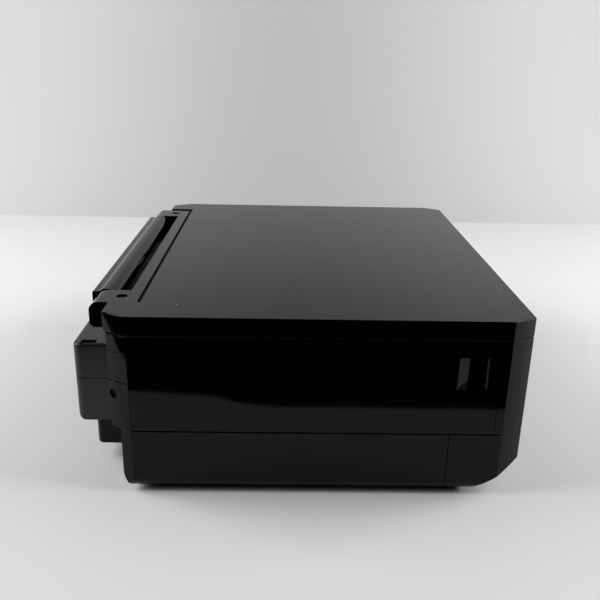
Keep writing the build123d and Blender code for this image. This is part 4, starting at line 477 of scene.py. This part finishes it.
def backdrop(name, shade, middle=1.0):
    """Matte pale paper, which may be painted a little darker in its middle: painted shade, for the
    dimmer light between the two side softboxes.
    """
    material, tree = node_tree(name)
    cloud = noise(tree, scale=1.3, detail=2.0)
    aside = reckon(tree, "ABSOLUTE", axes_of(tree, object_place(tree))["Y"])
    # Painted shade: the paper is darker in its middle and fades to its plain shade at either side
    shade_fade = spread(tree, aside, (0.0, WALL_PAINTED_SHADE_REACH), (0.0, 1.0),
                  interpolation_type="SMOOTHSTEP")
    inside = mix_colour(tree, cloud, (shade * middle,) * 3, (PAPER_CLOUDING * shade * middle,) * 3)
    outside = mix_colour(tree, cloud, (shade,) * 3, (PAPER_CLOUDING * shade,) * 3)
    surface(tree, mix_colour(tree, shade_fade, inside, outside), 0.9, Specular_IOR_Level=0.1)
    return material


def dress(material, *nodes):
    """Give CAD nodes a material."""
    for node in nodes:
        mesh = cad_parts[node].data
        mesh.materials.clear()
        mesh.materials.append(material)


# Materials that more than one piece uses
INNER_GREY = satin_plastic("inner_grey", (0.10, 0.10, 0.105), rough=0.5)
PRINT_GREY = print_ink("print_grey", PRINT_SHADE, rough=0.5)
PRINT_WHITE = print_ink("print_white", (0.50, 0.50, 0.50), rough=0.5)
STRIP_WHITE = print_ink("strip_white", (0.75, 0.75, 0.74), rough=0.6)

dress(gloss_black("lid_black", wipe=(1.0, 3.0, 1.0), wave=LID_WAVE, crumbs=LID_CRUMBS,
                  notched=True), "lid_shell")
dress(gloss_black("case_black"),
      "base_housing", "lower_front", "side_panel_left", "side_panel_right", "rear_cover_lower",
      "rear_cover_upper", "front_bezel", "scanner_frame", "spine_cover", "hinge_bracket",
      "cassette_front")
dress(gloss_black("door_black", carded=True), "card_door")
dress(gloss_black("panel_black"), "panel_front")
dress(gloss_black("display_glass"), "display")
dress(satin_plastic("satin_black", (0.010, 0.010, 0.011)),
      "panel_frame", "output_tray", "tray_extension", "cassette_tray", "photo_tray",
      "scanner_bottom", "platen", "print_carriage", "scan_carriage", "support_stay")
dress(satin_plastic("turn_black", (0.006, 0.006, 0.0065), rough=0.36),
      "turn_lower_shell", "turn_upper_shell", "release_buttons")
dress(INNER_GREY, "mid_frame", "pinch_rollers", "star_wheels", "pickup_arm", "edge_guide_left",
      "edge_guide_right")
dress(satin_plastic("supply_case", (0.02, 0.02, 0.02), rough=0.55), "power_supply")
dress(satin_plastic("key_plastic", (0.02, 0.02, 0.022), rough=0.3), "ok_key", "start_key")
dress(power_key("power_key"), "power_button")
dress(metal("sheet_steel", (0.62, 0.63, 0.64), 0.32, stretch=(1.0, 1.0, 12.0)), "chassis")
dress(metal("rod_steel", (0.72, 0.72, 0.73), 0.18, stretch=(0.05, 4.0, 4.0)),
      "steel_rods", "scan_rod", "hinge_pins", "feed_roller")
dress(metal("motor_metal", (0.5, 0.5, 0.52), 0.35, stretch=(1.0, 6.0, 6.0)), "motors")
dress(metal("black_screw", (0.02, 0.02, 0.021), 0.45), "cover_screws", "bracket_screws")
dress(rubber("rubber_black"), "feet", "carriage_belt", "cap_station", "exit_roller",
      "pickup_roller", "turn_roller")
dress(nylon("gear_plastic"), "motor_pulley", "transfer_gear", "motor_pinion", "guide_pinion")
dress(circuit_board("board"), "main_board")
dress(satin_plastic("ink_plastic", (0.015, 0.015, 0.02), rough=0.25), "ink_cartridges")
dress(clear_glass("clear_glass"), "platen_glass")
dress(white_pad("pad_white"), "document_pad")


def mesh_piece(name, bm, material, body):
    """Turn a bmesh into a piece that rides a body."""
    bmesh.ops.recalc_face_normals(bm, faces=bm.faces)
    mesh = bpy.data.meshes.new(name)
    bm.to_mesh(mesh)
    bm.free()
    mesh.materials.append(material)
    piece = bpy.data.objects.new(name, mesh)
    bpy.context.scene.collection.objects.link(piece)
    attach(piece, body)
    return piece


def rectangle(middle, width, height):
    """The corners of an upright rectangle."""
    x, y = middle
    return [(x - width / 2, y - height / 2), (x + width / 2, y - height / 2),
            (x + width / 2, y + height / 2), (x - width / 2, y + height / 2)]


class Sheet:
    """Flat shapes on one plane, each with a little thickness, gathered in one mesh."""

    def __init__(self, origin, across, up, thickness=MARK_THICKNESS):
        self.bm = bmesh.new()
        self.origin = Vector(origin)
        self.across = across
        self.up = up
        self.normal = across.cross(up)
        self.thickness = thickness

    def corners(self, points, lift):
        """New corners at these places of the plane, lifted off it."""
        return [self.bm.verts.new(self.origin + self.across * x + self.up * y + self.normal * lift)
                for x, y in points]

    def shape(self, points):
        """A filled outline."""
        low = self.corners(points, -self.thickness)
        high = self.corners(points, self.thickness)
        self.bm.faces.new(high)
        self.bm.faces.new(low[::-1])
        for i in range(len(points)):
            j = (i + 1) % len(points)
            self.bm.faces.new((low[i], low[j], high[j], high[i]))

    def box(self, middle, width, height):
        """A filled rectangle."""
        self.shape(rectangle(middle, width, height))

    def band(self, outer, inner, closed=True):
        """The strip between two outlines with the same number of points."""
        rows = [self.corners(outer, -self.thickness), self.corners(outer, self.thickness),
                self.corners(inner, self.thickness), self.corners(inner, -self.thickness)]
        count = len(outer)
        for i in range(count if closed else count - 1):
            j = (i + 1) % count
            for k in range(len(rows)):
                near, far = rows[k], rows[(k + 1) % len(rows)]
                self.bm.faces.new((near[i], near[j], far[j], far[i]))
        if not closed:
            self.bm.faces.new([row[0] for row in rows])
            self.bm.faces.new([row[-1] for row in rows][::-1])

    def ring(self, middle, radius, line, steps=32):
        """A round line."""
        angles = [math.radians(360.0 * i / steps) for i in range(steps)]
        outer, inner = ([(middle[0] + r * math.cos(a), middle[1] + r * math.sin(a))
                         for a in angles] for r in (radius + line / 2, radius - line / 2))
        self.band(outer, inner)

    def frame(self, middle, width, height, line):
        """A rectangular line."""
        self.band(rectangle(middle, width, height),
                  rectangle(middle, width - 2 * line, height - 2 * line))

    def piece(self, name, material, body, slot):
        """Close the sheet as a piece that rides a body."""
        return mesh_piece(name, self.bm, material, body)


def middle_x(node):
    """The middle of a CAD node, left to right."""
    low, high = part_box(node)
    return (low.x + high.x) / 2


def screen(face_y, middle_z):
    """The screen, and its plain pictograms without words."""
    glass = Sheet((0, face_y, middle_z), RIGHT, UP)
    glass.box((0, 0), SCREEN_WIDTH, SCREEN_HEIGHT)
    glass.piece("screen", print_ink("screen", (0.010, 0.014, 0.022), rough=0.12),
                "control_panel", "display_glass")
    icons = Sheet((0, face_y - MARK_PROUD, middle_z), RIGHT, UP)
    for place in TILE_PLACES:
        icons.frame(place, TILE_SIZE, TILE_SIZE, TILE_LINE)
    for page in SHEET_ICONS:
        icons.frame(*page, ICON_LINE)
    icons.frame(*PICTURE_ICON, ICON_LINE)
    icons.shape(PICTURE_HILLS)
    icons.box(*SCANNER_BASE)
    icons.frame(*SCANNER_ICON, ICON_LINE)
    for sign in (-1, 1):
        x = sign * PAGE_ARROW_X
        icons.shape([(x + sign * PAGE_ARROW_DEPTH, PAGE_ROW_Z), (x, PAGE_ARROW_TOP),
                     (x, PAGE_ARROW_BOTTOM)][::sign])
    for x in PAGE_DOTS:
        icons.box((x, PAGE_ROW_Z), PAGE_DOT, PAGE_DOT)
    icons.piece("screen_pictograms", PRINT_GREY, "control_panel", "pad_white")


def panel_marks(face_y, middle_z, ok_x, start_x):
    """The touch marks beside the screen, and the marks round the two keys."""
    marks = Sheet((0, face_y, middle_z), RIGHT, UP)
    marks.band(HOME_ROOF, HOME_EAVES, closed=False)
    marks.frame(*HOME_WALLS, ICON_LINE)
    marks.shape(BACK_ARROW)
    marks.box(*BACK_SHAFT)
    for z in MENU_BARS:
        marks.box((MENU_X, z), MENU_WIDTH, MENU_LINE)
    for quarter in range(4):
        angle = math.pi / 2 * quarter
        along = Vector((math.cos(angle), math.sin(angle)))
        aside = Vector((-along.y, along.x))
        foot = ARROW_FOOT * along
        arrow = (ARROW_TIP * along, foot + ARROW_HALF * aside, foot - ARROW_HALF * aside)
        marks.shape([(ok_x + v.x, v.y) for v in arrow])
    marks.ring((ok_x, 0.0), KEY_RING, KEY_RING_LINE)
    marks.ring((start_x, 0.0), KEY_RING, KEY_RING_LINE)
    marks.ring((start_x, STOP_MARK_Z), STOP_RING, STOP_RING_LINE)
    marks.box((start_x, STOP_MARK_Z), STOP_SQUARE, STOP_SQUARE)
    marks.shape([(start_x - FEED_MARK_HALF, FEED_MARK_LOW),
                 (start_x + FEED_MARK_HALF, FEED_MARK_LOW), (start_x, FEED_MARK_HIGH)])
    marks.piece("panel_marks", PRINT_GREY, "control_panel", "pad_white")


def key_marks(face_y, middle_z, ok_x, start_x):
    """A ring on the first key and a triangle on the second."""
    ok_mark = Sheet((ok_x, face_y, middle_z), RIGHT, UP)
    ok_mark.ring((0.0, 0.0), OK_RING, OK_RING_LINE)
    ok_mark.piece("ok_key_mark", PRINT_WHITE, "ok_key", "pad_white")
    start_mark = Sheet((start_x, face_y, middle_z), RIGHT, UP)
    start_mark.shape(START_ARROW)
    start_mark.piece("start_key_mark", PRINT_WHITE, "start_key", "pad_white")


def control_panel():
    """Everything that is printed on the control panel."""
    display_low, display_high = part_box("display")
    middle_z = (display_low.z + display_high.z) / 2
    ok_x, start_x = middle_x("ok_key"), middle_x("start_key")
    screen(display_low.y - MARK_PROUD, middle_z)
    panel_marks(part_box("panel_front")[0].y - MARK_PROUD, middle_z, ok_x, start_x)
    key_marks(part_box("ok_key")[0].y - MARK_PROUD, middle_z, ok_x, start_x)


def glass_marks():
    """The page mark and the paper ticks round the glass, and the white strip at its left end."""
    glass_low, glass_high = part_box("platen_glass")
    corner_x, corner_y = glass_low.x, glass_low.y
    marks = Sheet((0, 0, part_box("scanner_frame")[1].z + MARK_PROUD), RIGHT, BACK)
    marks.shape([(corner_x - CORNER_GAP, corner_y - CORNER_GAP),
                 (corner_x - CORNER_GAP, corner_y - CORNER_REACH_Y),
                 (corner_x - CORNER_REACH_X, corner_y - CORNER_GAP)])
    for reach in TICKS_ALONG_X:
        marks.box((corner_x + reach, corner_y - TICK_SETBACK), TICK_LINE, TICK_LENGTH)
    for reach in TICKS_ALONG_Y:
        marks.box((corner_x - TICK_SETBACK, corner_y + reach), TICK_LENGTH, TICK_LINE)
    marks.piece("page_marks", PRINT_WHITE, "scanner_unit", "pad_white")
    strip = Sheet((corner_x + STRIP_INSET, (corner_y + glass_high.y) / 2,
                   glass_high.z + MARK_PROUD), RIGHT, BACK)
    strip.box((0, 0), STRIP_WIDTH, glass_high.y - corner_y - STRIP_SHORT)
    strip.piece("white_strip", STRIP_WHITE, "scanner_unit", "pad_white")


def scan_bar():
    """The scan bar's lens in its slit, and the light guide beside it."""
    low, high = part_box("scan_carriage")
    middle_y = (low.y + high.y) / 2
    length = high.y - low.y - BAR_SHORT
    lens = Sheet((middle_x("scan_carriage"), middle_y, high.z - LENS_DEPTH), RIGHT, BACK,
                 LENS_THICKNESS)
    lens.box((0, 0), BAR_STRIP_WIDTH, length)
    lens.piece("scan_lens", print_ink("lens", (0.30, 0.34, 0.33), rough=0.15),
               "scan_carriage", "pad_white")
    guide = Sheet((middle_x("scan_carriage") + GUIDE_OFFSET, middle_y, high.z + MARK_PROUD),
                  RIGHT, BACK)
    guide.box((0, 0), BAR_STRIP_WIDTH, length)
    guide.piece("light_guide", STRIP_WHITE, "scan_carriage", "pad_white")


def ink_labels():
    """A coloured label without words on each cartridge's sloped nose, and one on its top."""
    low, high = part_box("ink_cartridges")
    pitch = (high.x - low.x) / len(INKS)
    slope_up = (BACK + UP).normalized()
    for index, (name, shade) in enumerate(INKS.items()):
        colour = print_ink("ink_" + name, shade, rough=0.35)
        middle = low.x + (index + 0.5) * pitch
        label = Sheet((middle, low.y + NOSE_SLOPE / 2, high.z - NOSE_SLOPE / 2), RIGHT, slope_up)
        label.box((0, 0), LABEL_SHARE * pitch, LABEL_LENGTH)
        label.piece("ink_label_" + name, colour, "carriage", "ink_plastic")
        top = Sheet((middle, (low.y + NOSE_SLOPE + high.y) / 2, high.z), RIGHT, BACK)
        top.box((0, 0), LABEL_SHARE * pitch, TOP_LABEL_LENGTH)
        top.piece("ink_top_" + name, colour, "carriage", "ink_plastic")


def drum(bm, x, width, middle, outline):
    """A prism along X, round a middle given as Y and Z."""
    left, right = ([bm.verts.new((x + side * width / 2, middle[0] + y, middle[1] + z))
                    for y, z in outline] for side in (-1, 1))
    bm.faces.new(left)
    bm.faces.new(right[::-1])
    for i in range(len(outline)):
        j = (i + 1) % len(outline)
        bm.faces.new((left[i], left[j], right[j], right[i]))


def wheel_outline(tip, root, count):
    """Corners that lie by turns on a root circle and a tip circle."""
    radii = [tip if i % 2 else root for i in range(2 * count)]
    return [(r * math.cos(math.pi * i / count), r * math.sin(math.pi * i / count))
            for i, r in enumerate(radii)]


def star_wheels():
    """Toothed star wheels in pairs on one axle, in place of the plain rollers."""
    low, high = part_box("star_wheels")
    middle = ((low.y + high.y) / 2, (low.z + high.z) / 2)
    radius = (high.z - low.z) / 2
    star = wheel_outline(radius, STAR_ROOT * radius, STAR_TEETH)
    hub = wheel_outline(HUB_SHARE * radius, HUB_SHARE * radius, HUB_CORNERS)
    axle = wheel_outline(STAR_AXLE, STAR_AXLE, HUB_CORNERS)
    spacing = 2 * STAR_SPAN / STAR_COUNT
    bm = bmesh.new()
    drum(bm, 0.0, high.x - low.x, middle, axle)
    for index in range(STAR_COUNT):
        x = -STAR_SPAN + spacing * (index + 0.5)
        drum(bm, x, STAR_HUB, middle, hub)
        for side in (-1, 1):
            drum(bm, x + side * STAR_HUB / 3, STAR_DISC, middle, star)
    wheels = mesh_piece("toothed_star_wheels", bm, INNER_GREY, "star_wheels")
    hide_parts("star_wheels")


def paper_ticks():
    """Ticks for the paper widths on the cassette's floor, with an arrow at either side."""
    floor_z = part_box("cassette_tray")[0].z + CASSETTE_WALL + MARK_PROUD
    ticks = Sheet((0, 0, floor_z), RIGHT, BACK)
    for half in PAPER_HALVES:
        for side in (-1, 1):
            ticks.box((side * half, PAPER_TICK_Y), PAPER_TICK_WIDTH, PAPER_TICK_LENGTH)
    for side in (-1, 1):
        ticks.shape([(side * x, y) for x, y in PAPER_ARROW][::side])
    ticks.piece("paper_ticks", PRINT_GREY, "cassette", "pad_white")


def stage_mesh(name, points, faces, material):
    """A piece of the studio."""
    mesh = bpy.data.meshes.new(name)
    mesh.from_pydata(points, [], faces)
    mesh.materials.append(material)
    thing = bpy.data.objects.new(name, mesh)
    bpy.context.scene.collection.objects.link(thing)
    return thing


def studio():
    """A pale paper sweep behind the object. The gloss does not reflect the floor on the camera's
    side, beyond the table's edge."""
    paper = backdrop("pale_paper", TABLE_SHADE)
    # The wall paper carries painted shade in its middle
    wall = backdrop("wall_paper", WALL_SHADE, WALL_MIDDLE_PAINTED_SHADE)
    edge = [(x, y, 0.0) for x, y in TABLE_EDGE]
    count = len(edge)
    faces = [(i, i + 1, count + i + 1, count + i) for i in range(count - 1)]
    table = edge + [(SWEEP_START_X, y, 0.0) for x, y in TABLE_EDGE]
    stage_mesh("paper_table", table, [face[::-1] for face in faces], paper)
    near = edge + [(-FLOOR_REACH, y, 0.0) for x, y in TABLE_EDGE]
    stage_mesh("front_floor", near, faces, paper).visible_glossy = False
    profile = [(SWEEP_START_X, 0.0)]
    for index in range(1, SWEEP_STEPS + 1):
        angle = math.pi / 2 * index / SWEEP_STEPS
        profile.append((SWEEP_START_X + SWEEP_RADIUS * math.sin(angle),
                        SWEEP_RADIUS * (1 - math.cos(angle))))
    profile.append((profile[-1][0], WALL_HEIGHT))
    points = [(x, y, z) for x, z in profile for y in (-FLOOR_REACH, FLOOR_REACH)]
    faces = [(2 * i, 2 * i + 2, 2 * i + 3, 2 * i + 1) for i in range(len(profile) - 1)]
    for polygon in stage_mesh("paper_sweep", points, faces, wall).data.polygons:
        polygon.use_smooth = True


def softbox(name, place, target, size, power, glossy):
    """A rectangular soft light, which the camera does not see."""
    data = bpy.data.lights.new(name, "AREA")
    data.shape = "RECTANGLE"
    data.size, data.size_y = size
    data.energy = power
    lamp = bpy.data.objects.new(name, data)
    bpy.context.scene.collection.objects.link(lamp)
    lamp.location = place
    lamp.rotation_mode = "QUATERNION"
    lamp.rotation_quaternion = (Vector(target) - Vector(place)).to_track_quat("-Z", "Y")
    lamp.visible_glossy = glossy
    lamp.visible_camera = False


def room():
    """A dark room, which the camera sees as pale."""
    world = bpy.data.worlds.new("room")
    bpy.context.scene.world = world
    world.use_nodes = True
    tree = world.node_tree
    tree.nodes.clear()
    ray = add(tree, "ShaderNodeLightPath")
    dark = add(tree, "ShaderNodeBackground", {"Color": ROOM_DARK, "Strength": 1.0})
    pale = add(tree, "ShaderNodeBackground", {"Color": ROOM_PALE, "Strength": 1.0})
    both = add(tree, "ShaderNodeMixShader", {
        0: ray.outputs["Is Camera Ray"], 1: dark.outputs[0], 2: pale.outputs[0],
    })
    add(tree, "ShaderNodeOutputWorld", {"Surface": both.outputs[0]})


def camera():
    """The photograph's camera."""
    forward = Vector((
        math.cos(CAMERA_PITCH) * math.cos(CAMERA_YAW),
        math.cos(CAMERA_PITCH) * math.sin(CAMERA_YAW),
        -math.sin(CAMERA_PITCH),
    ))
    level_right = forward.cross(UP).normalized()
    level_up = level_right.cross(forward)
    right = math.cos(CAMERA_ROLL) * level_right + math.sin(CAMERA_ROLL) * level_up
    up = math.cos(CAMERA_ROLL) * level_up - math.sin(CAMERA_ROLL) * level_right
    data = bpy.data.cameras.new("camera")
    data.lens = CAMERA_LENS
    data.sensor_width = SENSOR_WIDTH
    eye = bpy.data.objects.new("camera", data)
    bpy.context.scene.collection.objects.link(eye)
    turn = Matrix((right, up, -forward)).transposed().to_4x4()
    eye.matrix_world = Matrix.Translation(CAMERA_PLACE) @ turn
    bpy.context.scene.camera = eye


control_panel()
glass_marks()
scan_bar()
ink_labels()
star_wheels()
paper_ticks()
studio()
for box in SOFTBOXES:
    softbox(*box)
room()
camera()

view = bpy.context.scene.view_settings
view.view_transform = "Standard"
view.look = "None"
